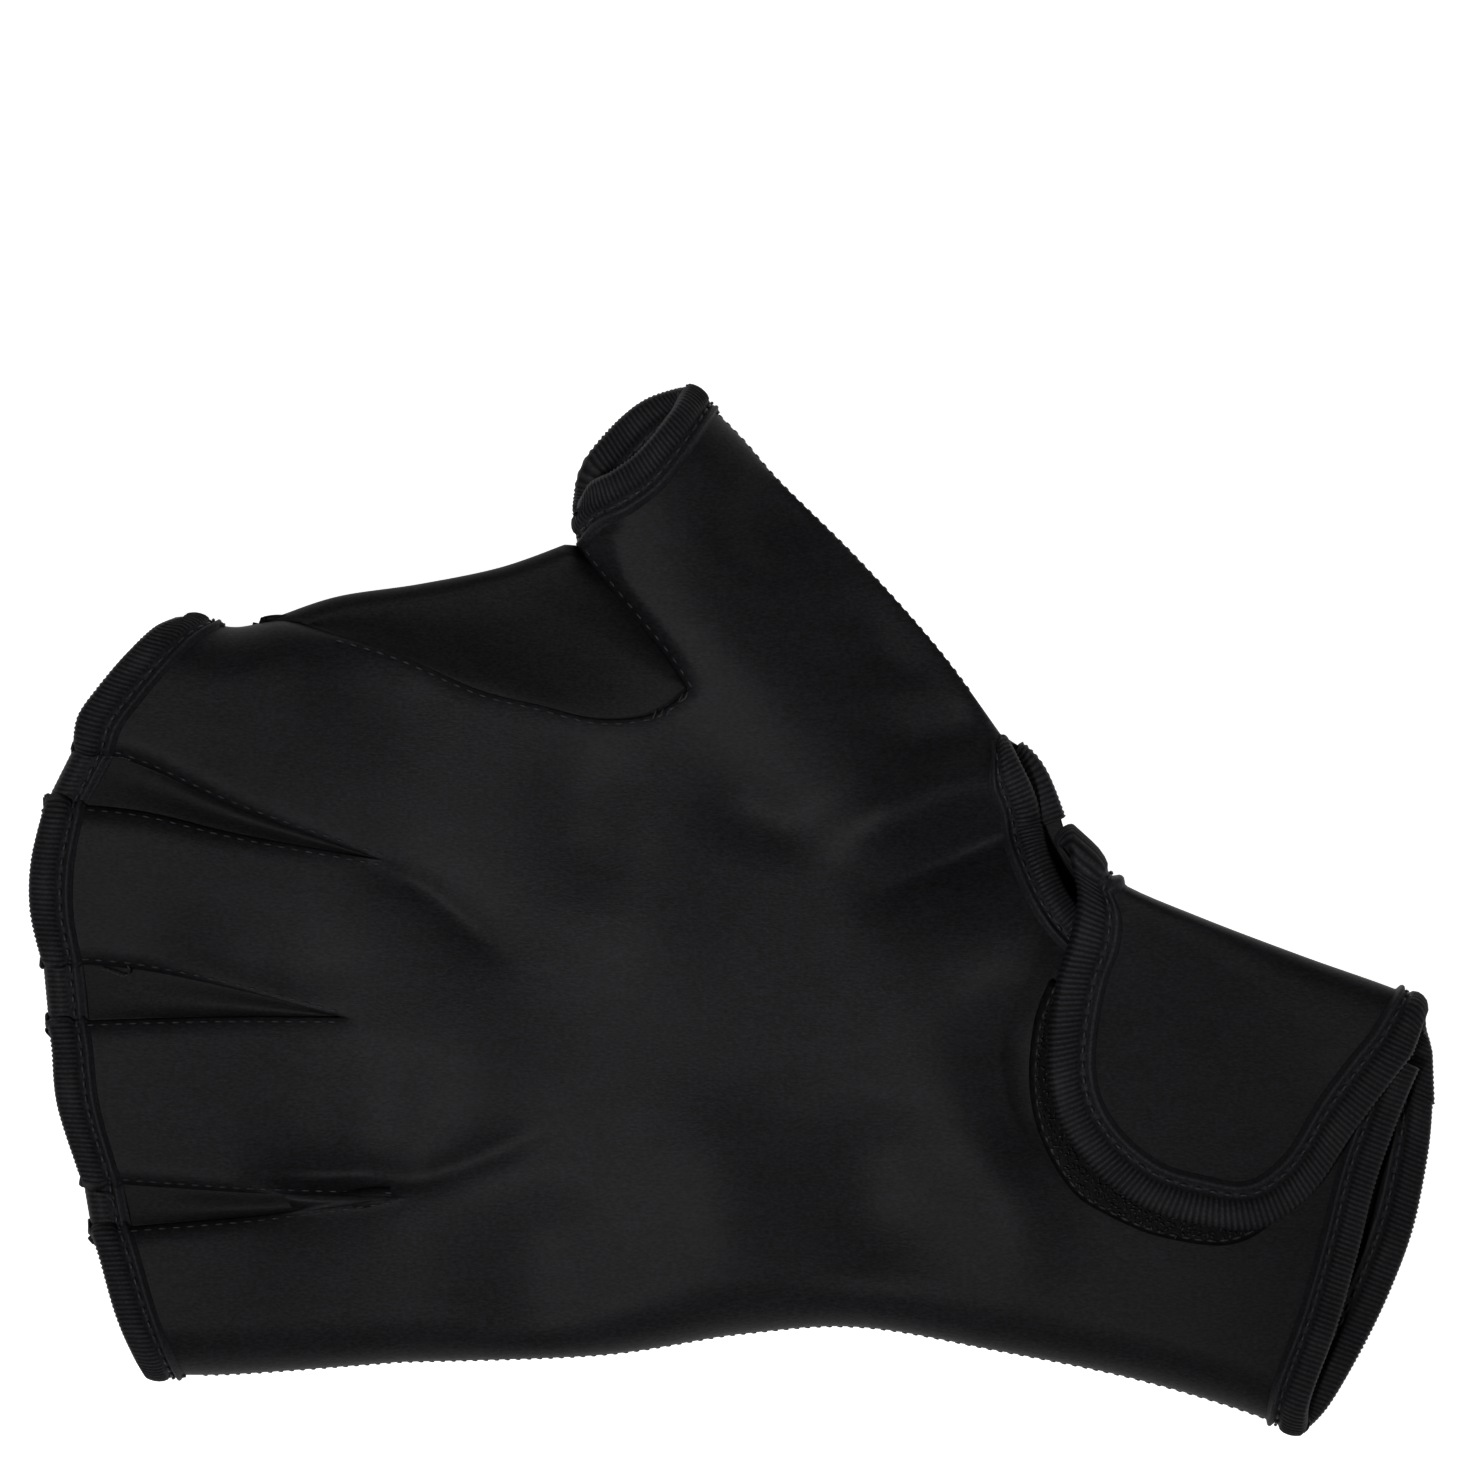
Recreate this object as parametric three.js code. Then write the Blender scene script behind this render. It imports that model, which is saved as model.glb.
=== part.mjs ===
import * as THREE from 'three';

// A webbed swim glove that lies flat. Millimetres, +Z up from the surface it rests on.
// +X runs from the open finger ends to the cuff, +Y towards the thumb.

// Driving dimensions
const WALL = 2.2;                 // neoprene sheet
const SEAM_GAP = 0.3;             // clearance between neighbouring pieces
const TAPE_WIDTH = 5.8;           // binding tape, from the rim inwards
const TAPE_THICKNESS = 0.5;
const TAPE_REACH = SEAM_GAP + TAPE_THICKNESS;
const SIDE_SEAM = 4.0;            // height of the seam between front and back
const FRONT_ROLL = 11.0;          // width over which the front sheet rises from a seam
const BACK_ROLL = 5.0;            // width over which the back sheet curls up to a seam
const CUFF_ROLL = 1.6;            // the same at the cuff's corner, where the tape turns
const CROWN = 11.4;               // usual height of the front sheet's upper face
const PATCH_LIFT = 0.35;          // front sheet to fastening patch
const PATCH_THICKNESS = 0.9;
const TAB_LIFT = 2.3;             // front sheet to the underside of the tab
const WEB_STEP = 0.9;             // a gusset's upper face above the seam that holds it
const TAPE_LIFT = TAPE_REACH + 0.03; // tape on the underside lifts the back sheet this much
const TAPE_FADE = 1;              // a lifted sheet keeps its height this far past its tape

// Outlines of the sheets, each point x, y
const LITTLE_SIDE = [[-92.1, -73.2], [-78.7, -73.2], [-52.6, -71.3]];
const PALM_SIDE = [[-52.6, -71.3], [-21, -70.2], [1.1, -66.9], [20.1, -65.8], [42.2, -69.6],
  [61.1, -73.4], [76.9, -77.8], [89.3, -82.2]];
const INDEX_SIDE = [[-85.8, 46.1], [-78.7, 44.6], [-70.8, 45.6], [-62.1, 43.1]];
const PALM_WEB_SEAM = [[-62.1, 43.1], [-52.6, 40.2], [-40, 34.7], [-30.5, 32.3], [-21, 30.1],
  [-12.3, 31], [-7.1, 34.7]];
const THUMB_WEB_SEAM = [[-7.1, 34.7], [-10.7, 40.2], [-17.9, 48.9], [-24.2, 57.1], [-25.1, 61.5]];
const THUMB_ROOT = [[-7.1, 34.7], [42.2, 27.7]];
const THUMB_SIDE = [[42.2, 27.7], [32.7, 40.7], [20.1, 54.9], [7.4, 67.5], [1.1, 74.7], [-6.5, 82.2]];
const THUMB_MOUTH_FRONT = [[-25.1, 61.5], [-22.6, 66], [-18.8, 68.2], [-14.4, 71.5], [-9.6, 77.2],
  [-6.5, 82.2]];
const THUMB_MOUTH_BACK = [[-25.1, 61.5], [-25.4, 64.2], [-24.2, 68.3], [-22, 71.8], [-17.4, 76.9],
  [-12.8, 80.2], [-6.5, 82.2]];
const SLIT_FRONT = [[42.2, 27.7], [46.9, 17.9], [49, 9.4], [54, -0.1], [63.5, -7.2], [83.3, -14.8],
  [107.1, -24.7]];
const SLIT_BACK = [[42.2, 27.7], [46.3, 24.9], [49.1, 21.1], [51.7, 14.5]];
const STRAP_SEAM_BACK = [[52.7, 5], [57.5, -6.5], [109.7, -30.1]];
const CUFF_FRONT = [[89.3, -82.2], [90.1, -76.4], [94.3, -64.9], [97.8, -52.7], [100.3, -42.7],
  [104.1, -32], [107.1, -24.7]];
const CUFF_BACK = [[89.3, -82.2], [93.4, -77.8], [98.9, -68.3], [103.3, -59], [106.7, -49.5],
  [109, -37.8], [109.7, -30.1]];

// Open finger ends from the little-finger side to the thumb side, each point x, y
const MOUTHS = {
  little: [[-92.1, -73.2], [-96.1, -63.8], [-98.8, -54.4], [-100.3, -50]],
  ring: [[-101.6, -42.4], [-105.4, -30.7], [-106.3, -21.4], [-107, -17.5]],
  middle: [[-107.9, -8], [-109.7, 0], [-109.5, 8], [-107.3, 17]],
  index: [[-102.9, 25.7], [-102.2, 30.3], [-99.1, 34.8], [-94.5, 40.2], [-89.7, 44.5], [-85.8, 46.1]],
};

// The wedge gaps between the finger channels: the edge on the thumb side, the edge on the
// little-finger side, both from the finger ends to the point of the wedge
const WEDGES = {
  index_middle: {
    upper: [[-102.9, 25.7], [-92.9, 22.8], [-77.1, 15.7], [-54.2, 7.7]],
    lower: [[-107.3, 17], [-92.9, 15.6], [-77.1, 11.9], [-54.2, 7.7]],
  },
  middle_ring: {
    upper: [[-107.9, -8], [-93.7, -9.1], [-77.9, -12.4], [-61.3, -16.8]],
    lower: [[-107, -17.5], [-93.7, -17], [-77.9, -16.7], [-61.3, -16.8]],
  },
  ring_little: {
    upper: [[-101.6, -42.4], [-93.7, -43.1], [-73.2, -44.5], [-52.6, -45.1]],
    lower: [[-100.3, -50], [-92.1, -49.4], [-73.2, -47.8], [-52.6, -45.1]],
  },
};
const WEDGE_RIM_HEIGHT = { mouth: 5.8, point: 8 };
const THUMB_WEB_RIM_HEIGHT = { start: 5.4, middle: 7, corner: 6, end: 4.8 };

// Outer fold of the thumb gusset, then the strap: its fold, its under half and its tab
const THUMB_WEB_FOLD = [[-72.4, 46.6], [-62.1, 49.5], [-49.5, 51.4], [-36.8, 54], [-26.6, 57.6]];
const STRAP_FOLD = [[52.9, 12.9], [56.4, 9.1], [61.1, 4.3], [73.8, -1.2], [89.6, -7.2],
  [105.4, -12.9], [108.5, -15.6]];
const STRAP_UNDER = [[54.8, 5.9], [66.5, -4.4], [79.5, -10.3], [94.6, -16], [109.7, -22.2]];
const STRAP_SEAM = [[55, 3], [58.4, -6.1], [109.9, -29.6]];
const TAB_OUTLINE = [[53.9, 6.2], [54.9, 2], [54, -4], [51.8, -10.8], [50.4, -19.6], [50.4, -27.4],
  [52.6, -34.3], [57.9, -41], [65.2, -46], [74.6, -48.6], [81.2, -49.1], [86.1, -47.2],
  [91.3, -42.6], [97.7, -33], [105.9, -22.2]];
const TAB_SPINE = { fold: [79.5, -10.3], end: [76, -29] };
const PATCH_OUTLINE = [[49.8, -11], [47.4, -17.3], [46.6, -27.4], [48.5, -36.1], [53.2, -44],
  [58.8, -47.8], [66.8, -51.1], [77.1, -52.5], [83.6, -49.9], [87.2, -45], [89, -38.5], [86, -30],
  [72, -20.5], [58, -14.5]];
const PATCH_CENTRE = [69, -34];

// Broad swells of the front sheet above or below its usual height
const SWELLS = [
  { at: 'palm', x: -10, y: -25, rise: 2.2, reach: 45 },
  { at: 'thumb', x: 0, y: 62, rise: 2.2, reach: 24 },
  { at: 'thumb end', x: -16, y: 73, rise: 2, reach: 16 },
  { at: 'little finger', x: -88, y: -61, rise: 2.2, reach: 24 },
  { at: 'ring finger', x: -93, y: -31, rise: 1.2, reach: 24 },
  { at: 'middle finger', x: -96, y: 3, rise: 1.6, reach: 24 },
  { at: 'index finger', x: -88, y: 33, rise: 2.4, reach: 26 },
  { at: 'heel of the hand', x: 78, y: -60, rise: 1.6, reach: 24 },
  { at: 'cuff', x: 102, y: -45, rise: 1.6, reach: 18 },
  { at: 'under the tab', x: 80, y: -20, rise: -1.2, reach: 24 },
  { at: 'under the strap fold', x: 82, y: -5, rise: -2.2, reach: 14 },
  { at: 'wrist slit', x: 50, y: 8, rise: -1, reach: 12 },
];

// Dents and creases of the front sheet, each along a line
const DENTS = [
  { at: 'wrist', from: [31.1, 2.3], to: [42.2, 6.6], width: 6.5, depth: 3 },
  { at: 'ridge over the wrist', from: [25.6, 10.2], to: [39.8, 14.9], width: 5, depth: -1 },
  { at: 'index knuckle', from: [-54.2, 7.7], to: [-40, -3.2], width: 4.5, depth: 1.6 },
  { at: 'little knuckle', from: [-52.6, -45.1], to: [-35.2, -38], width: 4, depth: 1.7 },
  { at: 'ring finger', from: [-76.3, -42], to: [-54.2, -43], width: 6, depth: 1.4 },
  { at: 'palm', from: [-6.8, 26], to: [9, 11], width: 6, depth: 1.2 },
  { at: 'thumb root', from: [13, 48.9], to: [28.8, 26], width: 6, depth: 0.9 },
  { at: 'thumb', from: [2.7, 64.7], to: [6.6, 57.6], width: 6, depth: 0.9 },
  { at: 'beside the tab', from: [42.2, -23.8], to: [44.6, -45.9], width: 6, depth: 1.2 },
];

// Mesh rows across a finger channel and the thumb, as shares of the width
const FINGER_ROWS = [0, 0.06, 0.22, 0.5, 0.78, 0.94, 1];
const FINGER_ROWS_BACK = [0, 0.08, 0.5, 0.92, 1];
const THUMB_ROWS = [0, 0.06, 0.18, 0.34, 0.5, 0.66, 0.82, 0.94, 1];
const FINGER_STEPS = 5;
const THUMB_STEPS = 7;
const WEB_STEPS = 6;
const CUFF_STEPS = 7;
const PALM_AT_WEB_CORNER = 0.24;  // shares of the palm's side seam
const PALM_AT_SLIT = 0.5;
const PALM_SETTLE = 0.6;          // share of the palm over which its rows even out
const SLIT_PULL = [1, 0.66, 0.33]; // how far the palm's rows follow the slit's tape

const NEOPRENE = new THREE.MeshStandardMaterial({ color: 0x1b1b1e, roughness: 0.85, metalness: 0 });
const GUSSET = new THREE.MeshStandardMaterial({ color: 0x19191b, roughness: 0.88, metalness: 0 });
const TAPE = new THREE.MeshStandardMaterial({ color: 0x222226, roughness: 0.7, metalness: 0 });
const HOOK = new THREE.MeshStandardMaterial({ color: 0x141416, roughness: 0.6, metalness: 0 });

const clamp = THREE.MathUtils.clamp;
const lerp = THREE.MathUtils.lerp;
const ease = (t) => THREE.MathUtils.smoothstep(t, 0, 1);
const at = ([x, y]) => new THREE.Vector2(x, y);
const mix = (a, b, t) => new THREE.Vector2(lerp(a.x, b.x, t), lerp(a.y, b.y, t));
const raise = (p, z) => new THREE.Vector3(p.x, p.y, z);
const evenly = (count) => Array.from({ length: count + 1 }, (_, k) => k / count);

// Points along a smooth curve at the given shares of its length
function along(points, shares) {
  const curve = new THREE.SplineCurve(points.map(at));
  return shares.map((share) => curve.getPointAt(share));
}

// The same along straight lines from point to point
function alongLines(points, shares) {
  const path = new THREE.CurvePath();
  points.slice(1).forEach((end, k) => path.add(new THREE.LineCurve(at(points[k]), at(end))));
  return shares.map((share) => path.getPointAt(share));
}

const lengthOf = (points) => new THREE.SplineCurve(points.map(at)).getLength();

// The point a distance along a curve, or straight on before its start when that is negative
function pointAt(points, distance) {
  const curve = new THREE.SplineCurve(points.map(at));
  const point = curve.getPointAt(Math.max(distance, 0) / curve.getLength());
  return distance < 0 ? point.addScaledVector(curve.getTangentAt(0), distance) : point;
}

// Shares of a curve with one station a tape's width from its start, then even steps
function fromTape(points, steps) {
  const first = TAPE_WIDTH / lengthOf(points);
  return [0, ...evenly(steps).map((t) => lerp(first, 1, t))];
}

// The same with the tape at the curve's far end
function toTape(points, steps) {
  const last = 1 - TAPE_WIDTH / lengthOf(points);
  return [...evenly(steps).map((t) => lerp(0, last, t)), 1];
}

// Running share of the length at each point of a list
function shares(points) {
  const run = [0];
  for (let k = 1; k < points.length; k += 1) run.push(run[k - 1] + points[k].distanceTo(points[k - 1]));
  return run.map((d) => d / run[run.length - 1]);
}

// A grid of plan points between four edges. bottom and top run with i, left and right with j.
function patch({ bottom, top, left, right, settle = 1 }) {
  const bottomShares = shares(bottom);
  const topShares = shares(top);
  const leftShares = shares(left);
  const rightShares = shares(right);
  const first = (j) => mix(bottom[0], top[0], leftShares[j]);
  const last = (j) => mix(bottom[bottom.length - 1], top[top.length - 1], rightShares[j]);
  return bottom.map((low, i) => left.map((_, j) => {
    if (j === 0) return low.clone();
    if (j === left.length - 1) return top[i].clone();
    const u = (bottomShares[i] + topShares[i]) / 2;
    const v = lerp(leftShares[j], rightShares[j], ease(clamp(u / settle, 0, 1)));
    const point = mix(low, top[i], v);
    point.addScaledVector(left[j].clone().sub(first(j)), (1 - u) ** 2);
    return point.addScaledVector(right[j].clone().sub(last(j)), u ** 2);
  }));
}

const rowOf = (grid, j) => grid.map((column) => column.at(j));

// A line of points moved sideways, to the right of its own direction
function inset(points, distance) {
  return points.map((p, k) => {
    const ahead = points[Math.min(k + 1, points.length - 1)];
    const behind = points[Math.max(k - 1, 0)];
    const side = new THREE.Vector2(ahead.y - behind.y, behind.x - ahead.x).normalize();
    return p.clone().addScaledVector(side, distance);
  });
}

// Whether the diagonal a-c of a cell is shorter than b-d. A tape over the cell splits the same way.
const isShorter = (a, c, b, d) => a.distanceTo(c) < b.distanceTo(d);

// Points closer than half a weld step are one
const WELD_STEP = 0.002;
const keyOf = (p) => `${Math.round(p.x / WELD_STEP)}/${Math.round(p.y / WELD_STEP)}`;

// A sheet made of grids of plan points, welded where they meet. place(point, rim) gives the
// upper and the lower face at a point. rim is the outward direction on a sewn edge.
class Sheet {
  constructor(grids, place, isSewn = () => false) {
    this.points = [];
    this.ids = new Map();
    this.triangles = [];
    for (const grid of grids) this.addGrid(grid);
    this.rims = this.findRims(isSewn);
    this.places = this.points.map((p, id) => place(p, this.rims.get(id)));
  }

  idOf(point) {
    const key = keyOf(point);
    if (!this.ids.has(key)) {
      this.ids.set(key, this.points.length);
      this.points.push(point);
    }
    return this.ids.get(key);
  }

  addGrid(grid) {
    for (let i = 0; i + 1 < grid.length; i += 1) {
      for (let j = 0; j + 1 < grid[i].length; j += 1) {
        const [a, b, c, d] = [grid[i][j], grid[i + 1][j], grid[i + 1][j + 1], grid[i][j + 1]];
        if (isShorter(a, c, b, d)) this.addTriangles([a, b, c], [a, c, d]);
        else this.addTriangles([a, b, d], [b, c, d]);
      }
    }
  }

  addTriangles(...triangles) {
    for (const corners of triangles) {
      const [a, b, c] = corners.map((p) => this.idOf(p));
      if (a !== b && b !== c && c !== a) this.triangles.push([a, b, c]);
    }
  }

  edges() {
    const open = new Map();
    for (const [a, b, c] of this.triangles) {
      for (const [from, to] of [[a, b], [b, c], [c, a]]) {
        if (!open.delete(`${to}/${from}`)) open.set(`${from}/${to}`, [from, to]);
      }
    }
    return [...open.values()];
  }

  findRims(isSewn) {
    const rims = new Map();
    for (const [from, to] of this.edges()) {
      const [a, b] = [this.points[from], this.points[to]];
      if (!isSewn(a) || !isSewn(b)) continue;
      const outward = new THREE.Vector2(b.y - a.y, a.x - b.x).normalize();
      for (const id of [from, to]) rims.set(id, (rims.get(id) ?? new THREE.Vector2()).add(outward));
    }
    for (const rim of rims.values()) rim.normalize();
    return rims;
  }

  placeOf(point) {
    return this.places[this.ids.get(keyOf(point))];
  }

  geometry() {
    const count = this.points.length;
    const faces = [];
    for (const [a, b, c] of this.triangles) faces.push(a, b, c, count + a, count + c, count + b);
    for (const [a, b] of this.edges()) {
      const [from, to] = [this.places[a], this.places[b]];
      if (isShorter(from.upper, to.lower, from.lower, to.upper)) {
        faces.push(b, a, count + b, a, count + a, count + b);
      } else {
        faces.push(b, a, count + a, b, count + a, count + b);
      }
    }
    const corners = [...this.places.map((p) => p.upper), ...this.places.map((p) => p.lower)];
    return new THREE.BufferGeometry().setFromPoints(corners).setIndex(faces);
  }
}

// A band swept through sections. Each section has an outer and an inner path of equal length.
// A tape's section also has cell, the faces of the sheet at the tape's rim and at its inner end.
function band(sections, closed = false) {
  const rings = sections.map(({ outer, inner }) => [...outer, ...[...inner].reverse()]);
  const size = rings[0].length;
  const faces = [];
  const quad = (a, b, c, d) => faces.push(a, b, c, a, c, d);
  const spans = closed ? rings.length : rings.length - 1;
  for (let k = 0; k < spans; k += 1) {
    const beyond = (k + 1) % rings.length;
    const near = k * size;
    const far = beyond * size;
    for (let m = 0; m < size; m += 1) {
      const next = (m + 1) % size;
      if (splitsBack(sections[k].cell, sections[beyond].cell, m)) {
        quad(near + next, far + next, far + m, near + m);
      } else {
        quad(near + m, near + next, far + next, far + m);
      }
    }
  }
  if (!closed) {
    const end = (rings.length - 1) * size;
    for (let m = 0; m + 1 < size / 2; m += 1) {
      quad(m + 1, m, size - 1 - m, size - 2 - m);
      quad(end + m, end + m + 1, end + size - 2 - m, end + size - 1 - m);
    }
  }
  const geometry = new THREE.BufferGeometry().setFromPoints(rings.flat()).setIndex(faces);
  return facingOut(geometry);
}

// Which way a face of a tape is split, so that it lies parallel to the sheet's own face
function splitsBack(near, far, m) {
  if (!near || !far) return false;
  const fromRim = isShorter(near.rim.at, far.deep.at, near.deep.at, far.rim.at);
  const fromOutside = isShorter(near.rim.outside, far.rim.inside, near.rim.inside, far.rim.outside);
  const split = { 0: fromRim, 2: !fromOutside, 4: !fromRim, 6: fromRim, 8: fromOutside, 10: !fromRim };
  return split[m] ?? false;
}

// Turns a closed mesh the right way round when its volume comes out negative
function facingOut(geometry) {
  const position = geometry.getAttribute('position');
  const index = geometry.getIndex();
  const corner = (k) => new THREE.Vector3().fromBufferAttribute(position, index.getX(k));
  let volume = 0;
  for (let k = 0; k < index.count; k += 3) volume += corner(k).dot(corner(k + 1).cross(corner(k + 2)));
  if (volume > 0) return geometry;
  const flipped = Array.from(index.array);
  for (let k = 0; k < flipped.length; k += 3) {
    [flipped[k + 1], flipped[k + 2]] = [flipped[k + 2], flipped[k + 1]];
  }
  return geometry.setIndex(flipped);
}

// Stations shared by the sheets, the gussets and the tapes
const edge = {
  littleSide: along(LITTLE_SIDE, fromTape(LITTLE_SIDE, FINGER_STEPS)),
  indexSide: along(INDEX_SIDE, fromTape(INDEX_SIDE, FINGER_STEPS)),
  palmWebSeam: along(PALM_WEB_SEAM, evenly(WEB_STEPS)),
  thumbWebSeam: along(THUMB_WEB_SEAM, toTape(THUMB_WEB_SEAM, THUMB_STEPS)),
  thumbSide: along(THUMB_SIDE, toTape(THUMB_SIDE, THUMB_STEPS)),
  thumbRoot: along(THUMB_ROOT, THUMB_ROWS),
  slitFront: along(SLIT_FRONT, toTape(SLIT_FRONT, CUFF_STEPS)),
};
const cuffTapeAt = 1 - TAPE_WIDTH / lengthOf(PALM_SIDE);
const palmShares = [
  ...evenly(WEB_STEPS).map((t) => lerp(0, PALM_AT_WEB_CORNER, t)),
  ...evenly(THUMB_ROWS.length - 1).slice(1).map((t) => lerp(PALM_AT_WEB_CORNER, PALM_AT_SLIT, t)),
  ...evenly(CUFF_STEPS).slice(1).map((t) => lerp(PALM_AT_SLIT, cuffTapeAt, t)),
  1,
];
edge.palmSide = along(PALM_SIDE, palmShares);
for (const [name, wedge] of Object.entries(WEDGES)) {
  edge[`${name}_upper`] = along(wedge.upper, fromTape(wedge.upper, FINGER_STEPS));
  edge[`${name}_lower`] = along(wedge.lower, fromTape(wedge.lower, FINGER_STEPS));
}
const slitBackSteps = 3;
const [strapCorner, ...strapStretch] = STRAP_SEAM_BACK;
edge.slitBack = along(SLIT_BACK, evenly(slitBackSteps));
edge.strapSeamBack = [
  at(strapCorner),
  ...along(strapStretch, toTape(strapStretch, CUFF_STEPS - slitBackSteps - 2)),
];

// Finger channels from the little finger to the index finger, with the edges that bound them
const FINGERS = [
  { name: 'little', low: edge.littleSide, high: edge.ring_little_lower },
  { name: 'ring', low: edge.ring_little_upper, high: edge.middle_ring_lower },
  { name: 'middle', low: edge.middle_ring_upper, high: edge.index_middle_lower },
  { name: 'index', low: edge.index_middle_upper, high: edge.indexSide },
];

// The grids of one sheet: four finger channels, the palm and the thumb
function gloveGrids({ fingerRows, thumbMouth, cuff, upperEdge }) {
  const fingers = {};
  const knuckles = [];
  for (const { name, low, high } of FINGERS) {
    const knuckle = fingerRows.map((t) => mix(low[low.length - 1], high[high.length - 1], t));
    const mouth = along(MOUTHS[name], fingerRows);
    fingers[name] = patch({ bottom: low, top: high, left: mouth, right: knuckle });
    knuckles.push(...(knuckles.length ? knuckle.slice(1) : knuckle));
  }
  const rows = knuckles.length - 1;
  const cuffLength = lengthOf(cuff);
  const roll = CUFF_ROLL / cuffLength;
  const inner = evenly(rows - 2).slice(1).map((t) => lerp(roll, 1 - TAPE_WIDTH / cuffLength, t));
  const palm = patch({
    bottom: edge.palmSide,
    top: [...edge.palmWebSeam, ...edge.thumbRoot.slice(1), ...upperEdge.slice(1)],
    left: knuckles,
    right: along(cuff, [0, roll, ...inner, 1]),
    settle: PALM_SETTLE,
  });
  const slit = rowOf(palm, -1).slice(WEB_STEPS + THUMB_ROWS.length - 1);
  inset(slit, TAPE_WIDTH).slice(1, -1).forEach((p, k) => {
    const column = palm.at(k - slit.length + 1);
    const move = p.sub(column.at(-2));
    SLIT_PULL.forEach((share, row) => column.at(-2 - row).addScaledVector(move, share));
  });
  const thumb = patch({
    bottom: edge.thumbRoot,
    top: along(thumbMouth, THUMB_ROWS),
    left: edge.thumbWebSeam,
    right: edge.thumbSide,
  });
  return { ...fingers, palm, thumb };
}

const frontGrids = gloveGrids({
  fingerRows: FINGER_ROWS,
  thumbMouth: THUMB_MOUTH_FRONT,
  cuff: CUFF_FRONT,
  upperEdge: edge.slitFront,
});
const backGrids = gloveGrids({
  fingerRows: FINGER_ROWS_BACK,
  thumbMouth: THUMB_MOUTH_BACK,
  cuff: CUFF_BACK,
  upperEdge: [...edge.slitBack, ...edge.strapSeamBack],
});

// Sewn edges with the height of the front sheet's rim and of the back sheet's rim, from the
// first to the last point. A back rim of 0 lies flat.
const CURLED = SIDE_SEAM - SEAM_GAP;
const wedgeSeams = Object.keys(WEDGES).flatMap((name) => ['upper', 'lower'].map((side) => ({
  points: edge[`${name}_${side}`],
  front: [WEDGE_RIM_HEIGHT.mouth, WEDGE_RIM_HEIGHT.point],
  back: [0, 0],
})));
const closed = { front: [SIDE_SEAM, SIDE_SEAM], back: [CURLED, CURLED] };
const { start: webStart, middle: webMiddle, corner: webCorner, end: webEnd } = THUMB_WEB_RIM_HEIGHT;
const SEAMS = [
  { points: [...edge.littleSide, ...edge.palmSide.slice(1)], ...closed },
  { points: edge.indexSide.slice(0, 4), ...closed },
  { points: edge.indexSide.slice(3), front: [SIDE_SEAM, webStart], back: [CURLED, 0] },
  { points: edge.palmWebSeam.slice(0, 4), front: [webStart, webMiddle], back: [0, 0] },
  { points: edge.palmWebSeam.slice(3), front: [webMiddle, webCorner], back: [0, 0] },
  { points: edge.thumbWebSeam.slice(0, -3), front: [webCorner, webEnd], back: [0, 0] },
  { points: edge.thumbWebSeam.slice(-4, -1), front: [webEnd, SIDE_SEAM], back: [0, CURLED] },
  { points: edge.thumbWebSeam.slice(-2), ...closed },
  { points: edge.thumbSide, ...closed },
  ...wedgeSeams,
];

// Nearest point of a set of lines: its distance and the heights there
function nearest(lines, x, y) {
  let best = { distance: Infinity };
  for (const { points, front = [0, 0], back = [0, 0] } of lines) {
    for (let k = 0; k + 1 < points.length; k += 1) {
      const [a, b] = [points[k], points[k + 1]];
      const [dx, dy] = [b.x - a.x, b.y - a.y];
      const t = clamp(((x - a.x) * dx + (y - a.y) * dy) / (dx * dx + dy * dy), 0, 1);
      const distance = Math.hypot(x - a.x - t * dx, y - a.y - t * dy);
      if (distance < best.distance) {
        const share = (k + t) / (points.length - 1);
        best = { distance, front: lerp(...front, share), back: lerp(...back, share) };
      }
    }
  }
  return best;
}

// Quarter-round rise from 0 at a seam to 1 a roll's width away
const quarterRound = (t) => Math.sqrt(1 - (1 - clamp(t, 0, 1)) ** 2);

// Height of the front sheet before it falls to its seams
function crown(x, y) {
  const swell = SWELLS.map((s) => s.rise * Math.exp(-((Math.hypot(x - s.x, y - s.y) / s.reach) ** 2)));
  return swell.reduce((sum, rise) => sum + rise, CROWN);
}

function dents(x, y) {
  const depth = DENTS.map((dent) => {
    const { distance } = nearest([{ points: [at(dent.from), at(dent.to)] }], x, y);
    return dent.depth * Math.exp(-((distance / dent.width) ** 2));
  });
  return depth.reduce((sum, d) => sum + d, 0);
}

function frontTop(x, y) {
  const seam = nearest(SEAMS, x, y);
  const open = crown(x, y) - dents(x, y);
  return seam.front + (open - seam.front) * quarterRound(seam.distance / FRONT_ROLL);
}

// Edges of the back sheet that carry tape, which lifts them off the surface by its thickness
const TAPED = [
  ...Object.keys(MOUTHS).map((name) => ({ points: backGrids[name][0] })),
  { points: backGrids.thumb.map((column) => column[column.length - 1]) },
  { points: backGrids.palm[backGrids.palm.length - 1] },
  { points: edge.slitBack },
];

function backBottom(x, y) {
  const seam = nearest(SEAMS, x, y);
  const taped = nearest(TAPED, x, y).distance;
  const lift = TAPE_LIFT * (1 - ease((taped - TAPE_WIDTH - TAPE_FADE) / TAPE_WIDTH));
  return lerp(Math.max(seam.back, lift), lift, quarterRound(seam.distance / BACK_ROLL));
}

// Upward normal of a height function
const SLOPE_STEP = 0.4;

function normalOf(height, x, y) {
  const dx = (height(x + SLOPE_STEP, y) - height(x - SLOPE_STEP, y)) / (2 * SLOPE_STEP);
  const dy = (height(x, y + SLOPE_STEP) - height(x, y - SLOPE_STEP)) / (2 * SLOPE_STEP);
  return new THREE.Vector3(-dx, -dy, 1).normalize();
}

const SAME_PLACE = 0.02;
const isSewn = (p) => nearest(SEAMS, p.x, p.y).distance < SAME_PLACE;

const front = new Sheet(Object.values(frontGrids), (p, rim) => {
  const upper = raise(p, frontTop(p.x, p.y));
  const normal = rim ? raise(rim, 0) : normalOf(frontTop, p.x, p.y);
  return { upper, lower: upper.clone().addScaledVector(normal, -WALL) };
}, isSewn);

const FLAT_SHARE = 0.1;           // below this share of the full curl a rim counts as flat

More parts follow.
